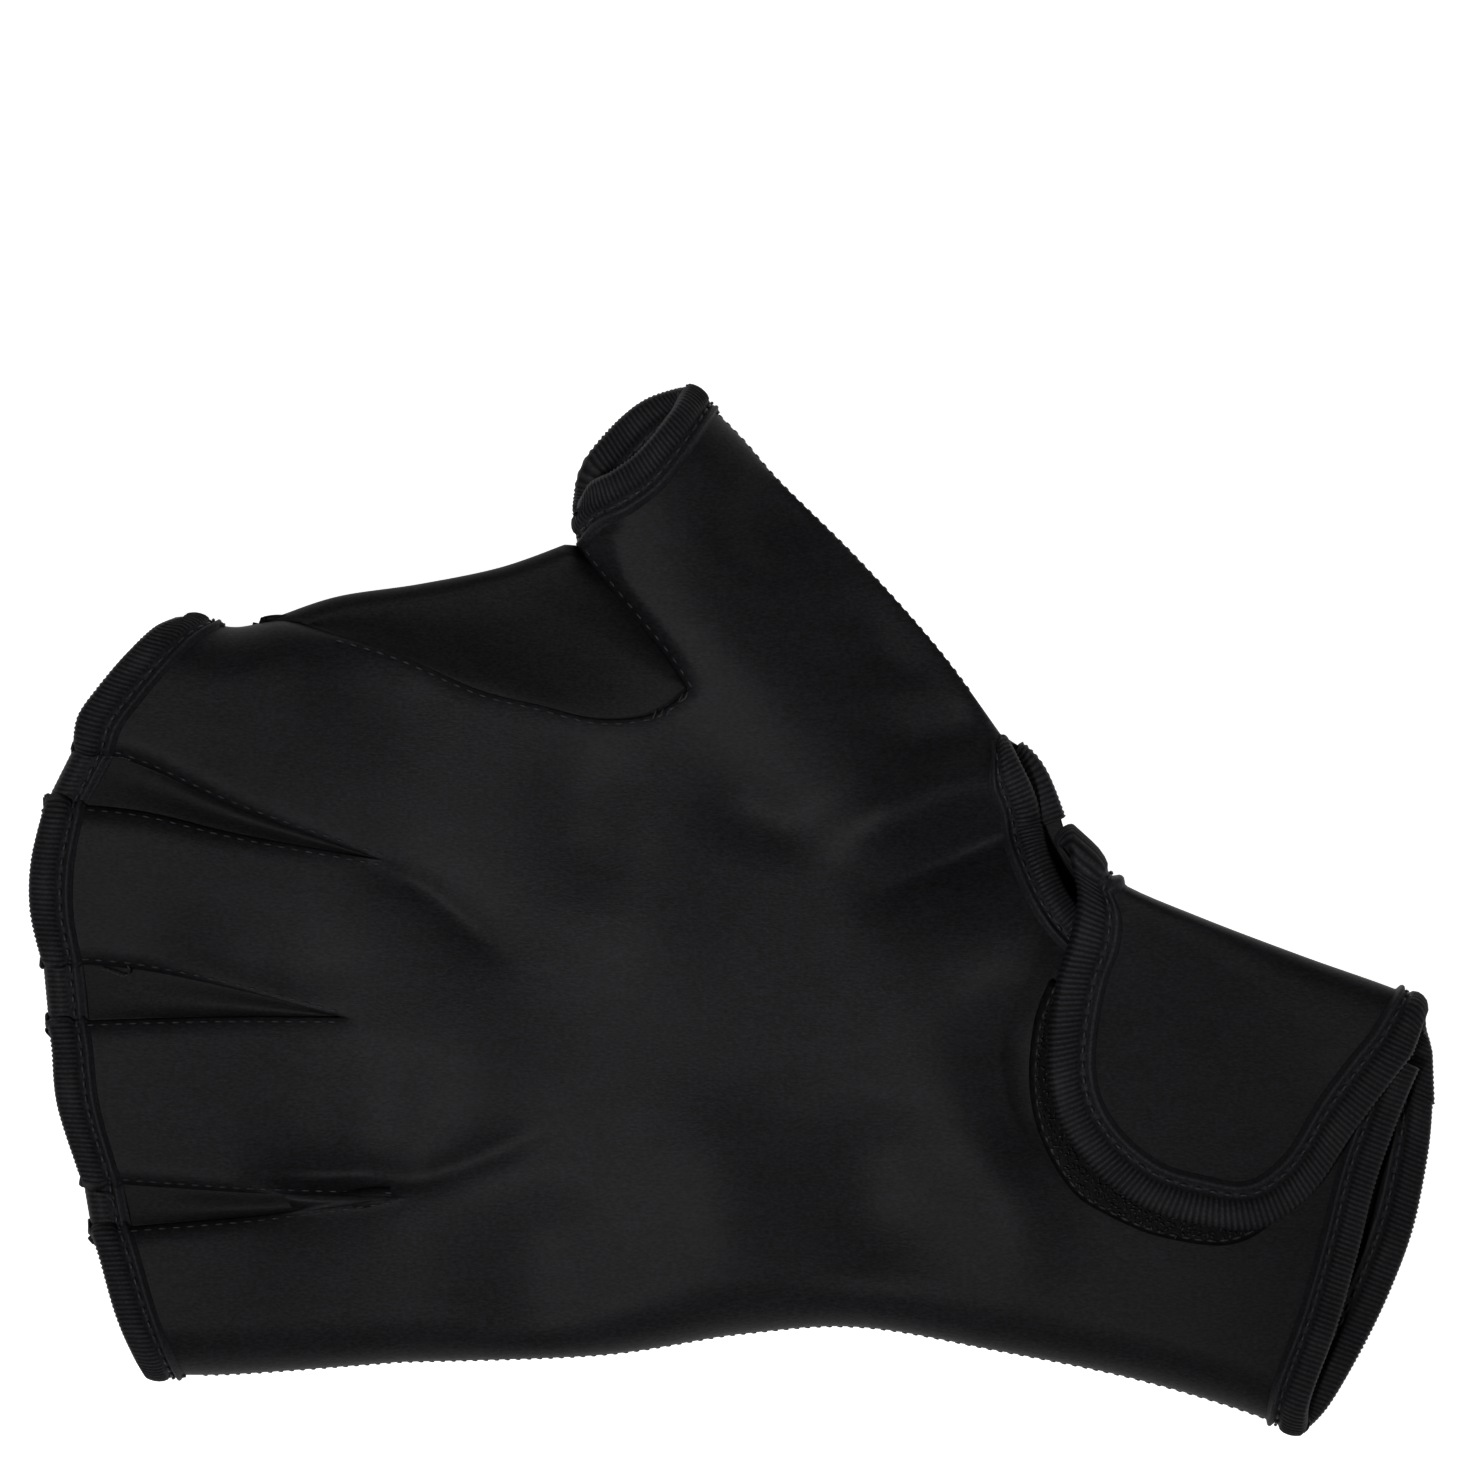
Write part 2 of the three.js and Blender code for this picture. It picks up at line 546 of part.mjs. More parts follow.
const back = new Sheet(Object.values(backGrids), (p, rim) => {
  const lower = raise(p, backBottom(p.x, p.y));
  const curled = rim ? nearest(SEAMS, p.x, p.y).back / CURLED : 0;
  const down = normalOf(backBottom, p.x, p.y).negate();
  const normal = rim ? raise(rim.clone().multiplyScalar(curled), curled - 1).normalize() : down;
  const lean = rim && curled < FLAT_SHARE ? raise(rim, -1) : undefined;
  return { lower, upper: lower.clone().addScaledVector(normal, -WALL), lean };
}, isSewn);

// The U-shaped section of a tape over the rim of a sheet. rim and deep hold the outside and the
// inside face of the sheet at the rim and a tape's width in from it.
function tapeSection(rim, deep) {
  const normal = rim.outside.clone().sub(rim.inside).normalize();
  const deepNormal = deep.outside.clone().sub(deep.inside).normalize();
  const out = rim.outside.clone().add(rim.inside).sub(deep.outside).sub(deep.inside);
  out.addScaledVector(normal, -out.dot(normal)).normalize();
  const path = (offset) => {
    const shift = (point, direction, amount) => point.clone().addScaledVector(direction, amount);
    return [
      shift(deep.outside, deep.lean ?? deepNormal, offset),
      shift(rim.outside, rim.lean ?? normal, offset),
      shift(rim.outside, out, offset),
      shift(rim.inside, out, offset),
      shift(rim.inside, normal, -offset),
      shift(deep.inside, deepNormal, -offset),
    ];
  };
  return { outer: path(TAPE_REACH), inner: path(SEAM_GAP), cell: { rim, deep } };
}

const frontFace = (p) => ({ at: p, outside: front.placeOf(p).upper, inside: front.placeOf(p).lower });

function backFace(p) {
  const { upper, lower, lean } = back.placeOf(p);
  return { at: p, outside: lower, inside: upper, lean };
}

const frontTape = (rim, deep) => rim.map((p, k) => tapeSection(frontFace(p), frontFace(deep[k])));
const backTape = (rim, deep) => rim.map((p, k) => tapeSection(backFace(p), backFace(deep[k])));

// Stations of the back sheet's rim without those that the front sheet's rim already covers
function backRing(rim, deep) {
  const keep = rim.map((p) => !isSewn(p) || Boolean(back.placeOf(p).lean));
  return backTape(rim.filter((_, k) => keep[k]), deep.filter((_, k) => keep[k])).reverse();
}

const fingerRing = (name) => [
  ...frontTape(frontGrids[name][0], frontGrids[name][1]),
  ...backRing(backGrids[name][0], backGrids[name][1]),
];

const thumbRing = [
  ...frontTape(rowOf(frontGrids.thumb, -1), rowOf(frontGrids.thumb, -2)),
  ...backRing(rowOf(backGrids.thumb, -1), rowOf(backGrids.thumb, -2)),
];

const cuffTape = [
  ...frontTape(frontGrids.palm.at(-1), frontGrids.palm.at(-2)).reverse(),
  ...backRing(backGrids.palm.at(-1), backGrids.palm.at(-2)).reverse(),
];

// The slit's tapes start one station past its point and stop short of the cuff's tape
const slitStart = WEB_STEPS + THUMB_ROWS.length;
const slitRow = (grid, row, stop) => rowOf(grid, row).slice(slitStart, stop);
const slitTape = (tape, grid, stop) => tape(slitRow(grid, -1, stop), slitRow(grid, -2, stop));
const slitFrontTape = slitTape(frontTape, frontGrids.palm, -2);
const slitBackTape = slitTape(backTape, backGrids.palm, slitStart + slitBackSteps);

// Folded gusset in section: a path out along the upper ply, round the nose and back underneath.
// Each row gives the distance from the seam and the height, outside and inside the sheet.
const NOSE_TURNS = [90, 45, 0, -45, -90].map(THREE.MathUtils.degToRad);

function hairpin({ reach, seamTop, nose, wall, middle, rows = [0, 0.5] }) {
  const start = reach - nose;
  const upper = rows.map((t) => ({
    outer: [start * t, lerp(seamTop, middle + nose, t)],
    inner: [start * t, lerp(seamTop, middle + nose, t) - wall],
  }));
  const turn = NOSE_TURNS.map((angle) => ({
    outer: [start + nose * Math.cos(angle), middle + nose * Math.sin(angle)],
    inner: [start + (nose - wall) * Math.cos(angle), middle + (nose - wall) * Math.sin(angle)],
  }));
  const under = [...rows].reverse().map((t) => ({
    outer: [start * t, middle - nose],
    inner: [start * t, middle - nose + wall],
  }));
  return [...upper, ...turn, ...under];
}

// The thumb gusset, one section at each station of the seams that hold it
const THUMB_WEB_NOSE = 3.2;
const SMALL_NOSE = { least: 0.6, share: 0.4, wall: 0.68 }; // where the gusset runs out to nothing
const WEB_END_CLEARANCE = 2;
const webSeam = [...edge.indexSide.slice(-3, -1), ...edge.palmWebSeam, ...edge.thumbWebSeam.slice(1, -1)];

function thumbWebSections() {
  const folds = along(THUMB_WEB_FOLD, shares(webSeam));
  const rimTape = edge.thumbWebSeam.at(-1);
  return webSeam.map((seam, k) => {
    const before = webSeam[Math.max(k - 1, 0)];
    const after = webSeam[Math.min(k + 1, webSeam.length - 1)];
    const outward = new THREE.Vector2(before.y - after.y, after.x - before.x).normalize();
    const taped = seam.distanceTo(rimTape) < TAPE_WIDTH + WEB_END_CLEARANCE;
    const clear = taped ? TAPE_REACH + SEAM_GAP : SEAM_GAP;
    const root = seam.clone().addScaledVector(outward, clear);
    const reach = folds[k].distanceTo(root);
    const nose = Math.min(THUMB_WEB_NOSE, SMALL_NOSE.least + SMALL_NOSE.share * reach);
    const rows = hairpin({
      reach,
      nose,
      seamTop: nearest(SEAMS, seam.x, seam.y).front + WEB_STEP,
      wall: Math.min(WALL, SMALL_NOSE.wall * nose),
      middle: THUMB_WEB_NOSE,
    });
    const place = ([distance, z]) => raise(mix(root, folds[k], distance / reach), z);
    return { outer: rows.map((row) => place(row.outer)), inner: rows.map((row) => place(row.inner)) };
  });
}

// A finger gusset is a hairpin that narrows from the finger ends to the point of its wedge
const FINGER_WEB_NOSE = 3.1;
const FINGER_WEB_SHARE = 0.86;    // of the wedge's length that the gusset fills
const FINGER_WEB_LEG = 1;         // length of web kept free between its tape and its first row

function fingerWeb(name) {
  const { upper, lower } = WEDGES[name];
  const reach = FINGER_WEB_SHARE * Math.min(lengthOf(upper), lengthOf(lower));
  const seamTop = lerp(WEDGE_RIM_HEIGHT.mouth, WEDGE_RIM_HEIGHT.point, FINGER_WEB_SHARE) + WEB_STEP;
  const middle = FINGER_WEB_NOSE + TAPE_REACH;
  const start = reach - FINGER_WEB_NOSE;
  const taped = TAPE_WIDTH + FINGER_WEB_LEG;
  const depths = fromTape(upper, FINGER_STEPS).slice(1).map((t) => t * lengthOf(upper));
  depths.splice(1, 0, taped);
  const inside = depths.filter((depth) => depth < reach - FINGER_WEB_LEG).reverse();
  const stations = [0, ...inside.map((depth) => (reach - depth) / start)];
  const rows = hairpin({ reach, nose: FINGER_WEB_NOSE, seamTop, wall: WALL, middle, rows: stations });
  const side = (own, other) => ([distance, z]) => {
    const depth = reach - distance;
    const clear = depth < taped - FINGER_WEB_LEG / 2 ? TAPE_REACH + SEAM_GAP : SEAM_GAP;
    const [near, far] = [pointAt(own, depth), pointAt(other, depth)];
    return raise(near.addScaledVector(far.sub(near).normalize(), clear), z);
  };
  const section = (place) => ({
    outer: rows.map((row) => place(row.outer)),
    inner: rows.map((row) => place(row.inner)),
  });
  return { sections: [section(side(upper, lower)), section(side(lower, upper))], side, reach };
}

// Tape round the nose of a finger gusset. Its upper leg rises with the gusset.
const WEB_TAPE_RISE = 0.25;

function fingerWebTape(name) {
  const { upper, lower } = WEDGES[name];
  const { side, reach } = fingerWeb(name);
  const middle = FINGER_WEB_NOSE + TAPE_REACH;
  const start = reach - FINGER_WEB_NOSE;
  const path = (offset) => {
    const radius = FINGER_WEB_NOSE + offset;
    const turn = NOSE_TURNS.map((angle) => [
      start + radius * Math.cos(angle),
      middle + radius * Math.sin(angle),
    ]);
    const leg = start - (TAPE_WIDTH - FINGER_WEB_NOSE);
    return [[leg, middle + radius + WEB_TAPE_RISE], ...turn, [leg, middle - radius]];
  };
  const section = (place) => ({ outer: path(TAPE_REACH).map(place), inner: path(SEAM_GAP).map(place) });
  return [section(side(upper, lower)), section(side(lower, upper))];
}

// The strap: a fan over the tab, then the fold and the under half, on the same columns
const TAB_STATIONS = 22;
const TAB_DEPTHS = 4;
const FOLD_TURNS = [60, 30, 0, -30, -60].map(THREE.MathUtils.degToRad);
const tabTop = (p) => crown(p.x, p.y) + TAB_LIFT + WALL;

function layOutStrap() {
  const outline = along(TAB_OUTLINE, evenly(TAB_STATIONS));
  const fan = outline.map((rim, k) => {
    const turn = ease(1 - Math.abs(2 * k / TAB_STATIONS - 1));
    const spine = mix(at(TAB_SPINE.fold), at(TAB_SPINE.end), turn);
    const first = TAPE_WIDTH / rim.distanceTo(spine);
    return [rim, ...evenly(TAB_DEPTHS - 1).map((t) => mix(rim, spine, lerp(first, 1, t)))];
  });
  const turnRow = [...fan[0], ...[...fan.at(-1)].reverse().slice(1)];
  const columns = shares(turnRow);
  const fold = along(STRAP_FOLD, columns);
  const under = along(STRAP_UNDER, columns);
  const seam = alongLines(STRAP_SEAM, columns);
  return { fan, turnRow, fold, under, seam };
}

const strapLines = layOutStrap();

// The strap's under half lies flat in the middle and is lifted by its tape at both sides
const STRAP_LIFT = { slope: 2.5, start: 0.85 };

// Upper and lower face of the strap in each row of its fold and its under half
function strapRows({ turnRow, fold, under, seam }) {
  const lift = turnRow.map((_, m) => {
    const outwards = Math.abs(m / TAB_DEPTHS - 1);
    return TAPE_REACH * ease(outwards * STRAP_LIFT.slope - STRAP_LIFT.start);
  });
  const flat = (row) => row.map((p, m) => ({ upper: raise(p, lift[m]), lower: raise(p, lift[m] + WALL) }));
  const bend = FOLD_TURNS.map((angle) => fold.map((nose, m) => {
    const end = angle > 0 ? turnRow[m] : angle < 0 ? under[m] : mix(turnRow[m], under[m], 0.5);
    const depth = end.distanceTo(nose);
    const middle = (tabTop(turnRow[m]) + lift[m]) / 2;
    const radius = middle - lift[m];
    const upper = raise(mix(nose, end, 1 - Math.cos(angle)), middle + radius * Math.sin(angle));
    const inner = 1 - Math.cos(angle) + WALL / depth * Math.cos(angle);
    return { upper, lower: raise(mix(nose, end, inner), middle + (radius - WALL) * Math.sin(angle)) };
  }));
  return [...bend, flat(under), flat(seam)];
}

// Flat positions that keep the rows of the fold in order beyond the tab, for welding alone
const FLAT_STEP = new THREE.Vector2(30, 80);

function strapSheet() {
  const { fan, turnRow } = strapLines;
  const rows = strapRows(strapLines);
  const shifted = (r) => turnRow.map((p) => p.clone().addScaledVector(FLAT_STEP, r + 1));
  const flatRows = [turnRow, ...rows.map((_, r) => shifted(r))];
  const known = new Map();
  rows.forEach((row, r) => row.forEach((faces, m) => known.set(keyOf(flatRows[r + 1][m]), faces)));
  const bendGrid = turnRow.map((_, m) => flatRows.map((row) => row[m]));
  const sheet = new Sheet([fan.map((spoke) => [...spoke].reverse()).reverse(), bendGrid], (p) => {
    const top = tabTop(p);
    return known.get(keyOf(p)) ?? { upper: raise(p, top), lower: raise(p, top - WALL) };
  });
  return { sheet, flatRows };
}

const strap = strapSheet();

function strapTape() {
  const { fan } = strapLines;
  const { sheet } = strap;
  const face = (p) => ({ at: p, outside: sheet.placeOf(p).upper, inside: sheet.placeOf(p).lower });
  const section = (rim, deep) => tapeSection(face(rim), face(deep));
  const foldRows = strap.flatRows.slice(1);
  const leftSide = foldRows.map((row) => section(row[0], row[1])).reverse();
  const rightSide = foldRows.map((row) => section(row.at(-1), row.at(-2)));
  return [...leftSide, ...fan.map((spoke) => section(spoke[0], spoke[1])), ...rightSide];
}

// The fastening patch: rings from its outline to its centre, over the front sheet
const PATCH_STATIONS = 28;
const PATCH_RINGS = [0, 0.3, 0.65, 1];

function patchSheet() {
  const outline = along([...PATCH_OUTLINE, PATCH_OUTLINE[0]], evenly(PATCH_STATIONS));
  const grid = outline.map((rim) => PATCH_RINGS.map((t) => mix(rim, at(PATCH_CENTRE), t)));
  return new Sheet([grid], (p) => {
    const low = crown(p.x, p.y) + PATCH_LIFT;
    return { upper: raise(p, low + PATCH_THICKNESS), lower: raise(p, low) };
  });
}

const glove = new THREE.Group();
glove.name = 'swim_glove';

function add(name, geometry, material) {
  const mesh = new THREE.Mesh(geometry, material);
  mesh.name = name;
  glove.add(mesh);
}

add('front_panel', front.geometry(), NEOPRENE);
add('back_panel', back.geometry(), NEOPRENE);
add('thumb_web', band(thumbWebSections()), GUSSET);
for (const name of Object.keys(WEDGES)) {
  add(`web_${name}`, band(fingerWeb(name).sections), GUSSET);
  add(`binding_web_${name}`, band(fingerWebTape(name)), TAPE);
}
for (const { name } of FINGERS) add(`binding_${name}`, band(fingerRing(name), true), TAPE);
add('binding_thumb', band(thumbRing, true), TAPE);
add('binding_cuff', band(cuffTape), TAPE);
add('binding_slit_front', band(slitFrontTape), TAPE);
add('binding_slit_back', band(slitBackTape), TAPE);
add('strap', facingOut(strap.sheet.geometry()), NEOPRENE);
add('binding_strap', band(strapTape()), TAPE);
add('hook_patch', facingOut(patchSheet().geometry()), HOOK);

export default glove;
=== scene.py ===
"""A webbed swim glove in black neoprene, lying flat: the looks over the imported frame.

The tables give the glove's lines in millimetres, as its source does. +X runs from the open
finger ends to the cuff, +Y towards the thumb, and +Z is up from the floor.
"""

import logging
import math
from dataclasses import dataclass, field
from enum import Enum
from typing import Any, Sequence

import bmesh
import bpy
import numpy as np
from mathutils import Matrix, Vector


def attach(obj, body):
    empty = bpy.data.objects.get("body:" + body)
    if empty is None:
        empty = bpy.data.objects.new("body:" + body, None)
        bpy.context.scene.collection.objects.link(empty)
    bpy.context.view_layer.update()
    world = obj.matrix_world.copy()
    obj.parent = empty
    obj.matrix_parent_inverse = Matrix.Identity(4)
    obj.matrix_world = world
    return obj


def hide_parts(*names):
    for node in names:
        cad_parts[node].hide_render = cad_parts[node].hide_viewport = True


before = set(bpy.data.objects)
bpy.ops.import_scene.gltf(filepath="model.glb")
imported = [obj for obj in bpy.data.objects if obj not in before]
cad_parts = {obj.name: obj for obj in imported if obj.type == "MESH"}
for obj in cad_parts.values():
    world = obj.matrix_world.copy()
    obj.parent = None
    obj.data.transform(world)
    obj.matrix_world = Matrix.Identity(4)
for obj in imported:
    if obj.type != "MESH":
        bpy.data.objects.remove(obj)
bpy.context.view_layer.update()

LOG = logging.getLogger("swim_glove")
BODY = "root"
RIB_SHADE_MASK = "rib"                       # mesh attribute: 1 on a rib of the tape, 0 between two, where painted shade darkens the groove
MM = 0.001

# Driving sizes, in millimetres
WALL = 2.2
TAPE_WIDTH = 5.8
TAPE_REACH = 0.8                  # from a sheet's rim to the tape folded over it
TAPE_THICKNESS = 0.5
SEAM_GAP = 0.3
SIDE_SEAM = 4.0                   # heights of the two sheets' rims at a sewn side
CURLED = SIDE_SEAM - SEAM_GAP
FRONT_ROLL = 9.0                  # widths over which the two sheets roll over to a seam
BACK_ROLL = 5.0
CROWN = 11.4                      # height of the front sheet away from its seams and folds
TAPE_LIFT = 1.4                   # how far the back sheet's tapes hold it off the floor, and
TAPE_FADE = 1.0                   # how far past their width they start to let it down
TAB_LIFT = 2.3
PATCH_LIFT = 0.35
PATCH_THICKNESS = 0.9

# Plan lines of the sheets, each point x, y
LITTLE_SIDE = [(-92.1, -73.2), (-78.7, -73.2), (-52.6, -71.3)]
PALM_SIDE = [(-52.6, -71.3), (-21, -70.2), (1.1, -66.9), (20.1, -65.8), (42.2, -69.6),
             (61.1, -73.4), (76.9, -77.8), (89.3, -82.2)]
INDEX_SIDE = [(-85.8, 46.1), (-78.7, 44.6), (-70.8, 45.6), (-62.1, 43.1)]
PALM_WEB_SEAM = [(-62.1, 43.1), (-52.6, 40.2), (-40, 34.7), (-30.5, 32.3), (-21, 30.1),
                 (-12.3, 31), (-7.1, 34.7)]
THUMB_WEB_SEAM = [(-7.1, 34.7), (-10.7, 40.2), (-17.9, 48.9), (-24.2, 57.1), (-24.6, 62.1)]
THUMB_ROOT = [(-7.1, 34.7), (42.2, 27.7)]
THUMB_SIDE = [(42.2, 27.7), (32.7, 40.7), (20.1, 54.9), (7.4, 67.5), (1.1, 74.7), (-6.5, 82.2)]
THUMB_MOUTH_FRONT = [(-24.6, 62.1), (-22.6, 66), (-18.8, 68.2), (-14.4, 71.5), (-9.6, 77.2),
                     (-6.5, 82.2)]
THUMB_MOUTH_BACK = [(-24.6, 62.1), (-24.4, 64.6), (-23.8, 68.3), (-22, 71.8), (-17.4, 76.9),
                    (-12.8, 80.2), (-6.5, 82.2)]
SLIT_FRONT = [(42.2, 27.7), (46.9, 17.9), (49, 9.4), (54, -0.1), (63.5, -7.2), (83.3, -14.8),
              (107.1, -24.7)]
SLIT_BACK = [(42.2, 27.7), (46.3, 24.9), (49.1, 21.1), (51.7, 14.5)]
STRAP_SEAM_BACK = [(54.5, 4.2), (57.8, -6.4), (109.7, -30.1)]
CUFF_FRONT = [(89.3, -82.2), (90.1, -76.4), (94.3, -64.9), (97.8, -52.7), (100.3, -42.7),
              (104.1, -32), (107.1, -24.7)]
CUFF_BACK = [(89.3, -82.2), (93.4, -77.8), (98.9, -68.3), (103.3, -59), (106.7, -49.5),
             (109, -37.8), (109.7, -30.1)]
MOUTHS = {
    "little": [(-92.1, -73.2), (-96.1, -63.8), (-98.8, -54.4), (-100.3, -50)],
    "ring": [(-101.6, -42.4), (-105.4, -30.7), (-106.3, -21.4), (-107, -17.5)],
    "middle": [(-107.9, -8), (-109.7, 0), (-109.5, 8), (-107.3, 17)],
    "index": [(-102.9, 25.7), (-102.2, 30.3), (-99.1, 34.8), (-94.5, 40.2), (-89.7, 44.5),
              (-85.8, 46.1)],
}
WEDGES = {
    "index_middle": ([(-102.9, 25.7), (-92.9, 22.8), (-77.1, 15.7), (-54.2, 7.7)],
                     [(-107.3, 17), (-92.9, 15.6), (-77.1, 11.9), (-54.2, 7.7)]),
    "middle_ring": ([(-107.9, -8), (-93.7, -9.1), (-77.9, -12.4), (-61.3, -16.8)],
                    [(-107, -17.5), (-93.7, -17), (-77.9, -16.7), (-61.3, -16.8)]),
    "ring_little": ([(-101.6, -42.4), (-93.7, -43.1), (-73.2, -44.5), (-52.6, -45.1)],
                    [(-100.3, -50), (-92.1, -49.4), (-73.2, -47.8), (-52.6, -45.1)]),
}
DEEP_AT_UPPER = ("index_middle",)  # gussets that hang deepest beside their upper edge
THUMB_WEB_FOLD = [(-75.5, 44.7), (-71, 46.6), (-62.1, 49.5), (-49.5, 51.4), (-36.8, 54),
                  (-26.6, 57.6)]
STRAP_FOLD = [(52.9, 12.9), (56.4, 9.1), (61.1, 4.3), (73.8, -1.2), (89.6, -7.2),
              (105.4, -12.9), (108.5, -15.6)]
STRAP_UNDER = [(54.8, 5.9), (66.5, -4.4), (79.5, -10.3), (94.6, -16), (109.7, -22.2)]
STRAP_SEAM = [(55, 3), (58.2, -6.5), (110, -30.3)]
TAB_OUTLINE = [(53.9, 6.2), (54.9, 2), (54, -4), (51.8, -10.8), (50.4, -19.6), (50.4, -27.4),
               (52.6, -34.3), (57.9, -41), (65.2, -46), (74.6, -48.6), (81.2, -49.1),
               (86.1, -47.2), (91.3, -42.6), (97.7, -33), (105.9, -22.2)]
TAB_SPINE_FOLD = (79.5, -10.3)
TAB_SPINE_END = (76, -29)
PATCH_OUTLINE = [(49.8, -11), (47.4, -17.3), (46.6, -27.4), (48.5, -36.1), (53.2, -44),
                 (58.8, -47.8), (66.8, -51.1), (77.1, -52.5), (83.6, -49.9), (87.2, -45),
                 (89, -38.5), (86, -30), (72, -20.5), (58, -14.5)]
PATCH_CENTRE = (69, -34)

# Loose thread ends on the front sheet, and the bar tack at the fork of the thumb
LOOSE_THREADS = [[(-99.2, -9.1), (-97.5, -9.6), (-95.7, -10.3), (-94.6, -9.6), (-95.1, -8.6)],
                 [(-98.8, 24.1), (-96.5, 24.1), (-94.6, 23.6)],
                 [(-100.3, -44.3), (-98.4, -44.6), (-97.2, -45.6)]]
BAR_TACK = [(-12.3, 31), (-11.2, 31.2), (-10.1, 31.5), (-8.2, 33.6), (-7.3, 34)]
BAR_STITCH = [(-0.3, -0.9), (0.3, 0.5)]  # where a stitch of it starts and ends beside its point

WEDGE_RIM_HEIGHT = (11.4, 11.6)   # at the mouth and at the wedge's point
WEB_HEIGHT = {"start": 9.0, "middle": 11.3, "corner": 11.5, "end": 6.6}
FOLDED_ROLL = 3.0                 # width over which the front sheet rises from a gusset's seam,
WEDGE_MOUTH_ROLL = 3.6            # at a wedge's mouth,
THUMB_ROLL = 7.0                  # and where the thumb's gusset ends

# Broad swells of the front sheet: x, y, rise, reach
SWELLS = [(-10, -25, 2.2, 45), (0, 62, 2.2, 24), (-16, 73, 2, 16), (-88, -61, 2.2, 24),
          (-93, -31, 1.2, 24), (-96, 3, 1.6, 24), (-88, 33, 2.4, 26), (78, -60, 1.6, 24),
          (104, -45, -1.4, 16), (80, -20, -1.2, 24), (82, -5, -2.2, 14), (44, -4, 1.8, 9),
          (40, -22, 2.2, 16), (-44, -24, 1.2, 12)]


def smooth(t: np.ndarray) -> np.ndarray:
    """Eases a share from 0 to 1 with level ends."""
    t = np.clip(t, 0, 1)
    return t * t * (3 - 2 * t)


def blend(a: Any, b: Any, t: Any) -> Any:
    """Mixes two values, points or arrays by a share."""
    return a + (b - a) * t


def rounded(count: int) -> np.ndarray:
    """Shares from 0 to 1 that crowd at both ends, where a sheet rolls over to its seams."""
    return (1 - np.cos(np.pi * np.linspace(0, 1, count + 1))) / 2


def with_heights(xy: np.ndarray, z: np.ndarray) -> np.ndarray:
    """Plan points with their heights as third coordinate."""
    return np.concatenate([xy, z[..., None]], -1)


def running(points: np.ndarray) -> np.ndarray:
    """Running length at each point of a line."""
    steps = np.linalg.norm(np.diff(points, axis=0), axis=1)
    return np.concatenate([[0], np.cumsum(steps)])


def share(points: np.ndarray) -> np.ndarray:
    """Running share of the length at each point of a line."""
    run = running(points)
    return run / run[-1]


def resampled(points: np.ndarray, run: np.ndarray, at: Any) -> np.ndarray:
    """Points of a line at places on the scale that run gives for its own points."""
    return np.stack([np.interp(at, run, column) for column in points.T], -1)


def crowded(count: int, crowding: float) -> np.ndarray:
    """Shares from 0 to 1 that crowd at the start, where the cuff rolls over to its seam."""
    dense = np.cumsum(1 - crowding * np.exp(-(np.linspace(0, 1, count) / 0.08) ** 2))
    return (dense - dense[0]) / (dense[-1] - dense[0])


@dataclass(frozen=True)
class Line:
    """A line through points, smooth or straight from point to point."""

    points: Sequence[Sequence[float]]
    straight: bool = False

    def dense(self) -> np.ndarray:
        """Many points along the line.

        Returns:
            The points.
        """
        p = np.asarray(self.points, float)
        if self.straight:
            return p
        a = np.vstack([p[:1], p, p[-1:]])
        t = np.linspace(0, 1, 40, endpoint=False)[:, None]
        spans = []
        for k in range(len(p) - 1):
            before, start, end, after = a[k:k + 4]
            v0, v1 = (end - before) / 2, (after - start) / 2
            spans.append((2 * (start - end) + v0 + v1) * t ** 3
                         + (3 * (end - start) - 2 * v0 - v1) * t ** 2 + v0 * t + start)
        return np.vstack([*spans, p[-1:]])

    def length(self) -> float:
        """Length of the line."""
        return float(running(self.dense())[-1])

    def at(self, shares: Any) -> np.ndarray:
        """Points at shares of the line's length."""
        dense = self.dense()
        return resampled(dense, share(dense), np.atleast_1d(shares))

    def even(self, steps: int) -> np.ndarray:
        """Points at even spacing from end to end."""
        return self.at(np.linspace(0, 1, steps + 1))

    def inwards(self, distances: Any) -> np.ndarray:
        """Points at distances from the line's start, straight on before it.

        Args:
            distances: the distances, below zero before the start.

        Returns:
            The points.
        """
        distances = np.atleast_1d(np.asarray(distances, float))
        first, second = self.at([0, 0.02])
        back = (first - second) / np.linalg.norm(first - second)
        return self.at(np.maximum(distances, 0) / self.length()) + np.outer(
            np.maximum(-distances, 0), back)


def patch(bottom: np.ndarray, top: np.ndarray, left: np.ndarray, right: np.ndarray,
          settle: float = 1.0) -> np.ndarray:
    """Fills a grid of plan points between four edges.

    Args:
        bottom: first edge, running with i.
        top: opposite edge, running with i.
        left: edge at i = 0, running with j.
        right: edge at the last i, running with j.
        settle: share of the way over which the rows go from left's spacing to right's.

    Returns:
        The points, indexed i, j, axis.
    """
    u = ((share(bottom) + share(top)) / 2)[:, None, None]
    ls, rs = share(left)[None, :, None], share(right)[None, :, None]
    v = blend(ls, rs, smooth(u / settle))
    grid = blend(bottom[:, None], top[:, None], v)
    grid = grid + (left[None] - blend(bottom[0], top[0], ls)) * (1 - u) ** 2
    grid = grid + (right[None] - blend(bottom[-1], top[-1], rs)) * u ** 2
    grid[:, 0], grid[:, -1] = bottom, top
    return grid


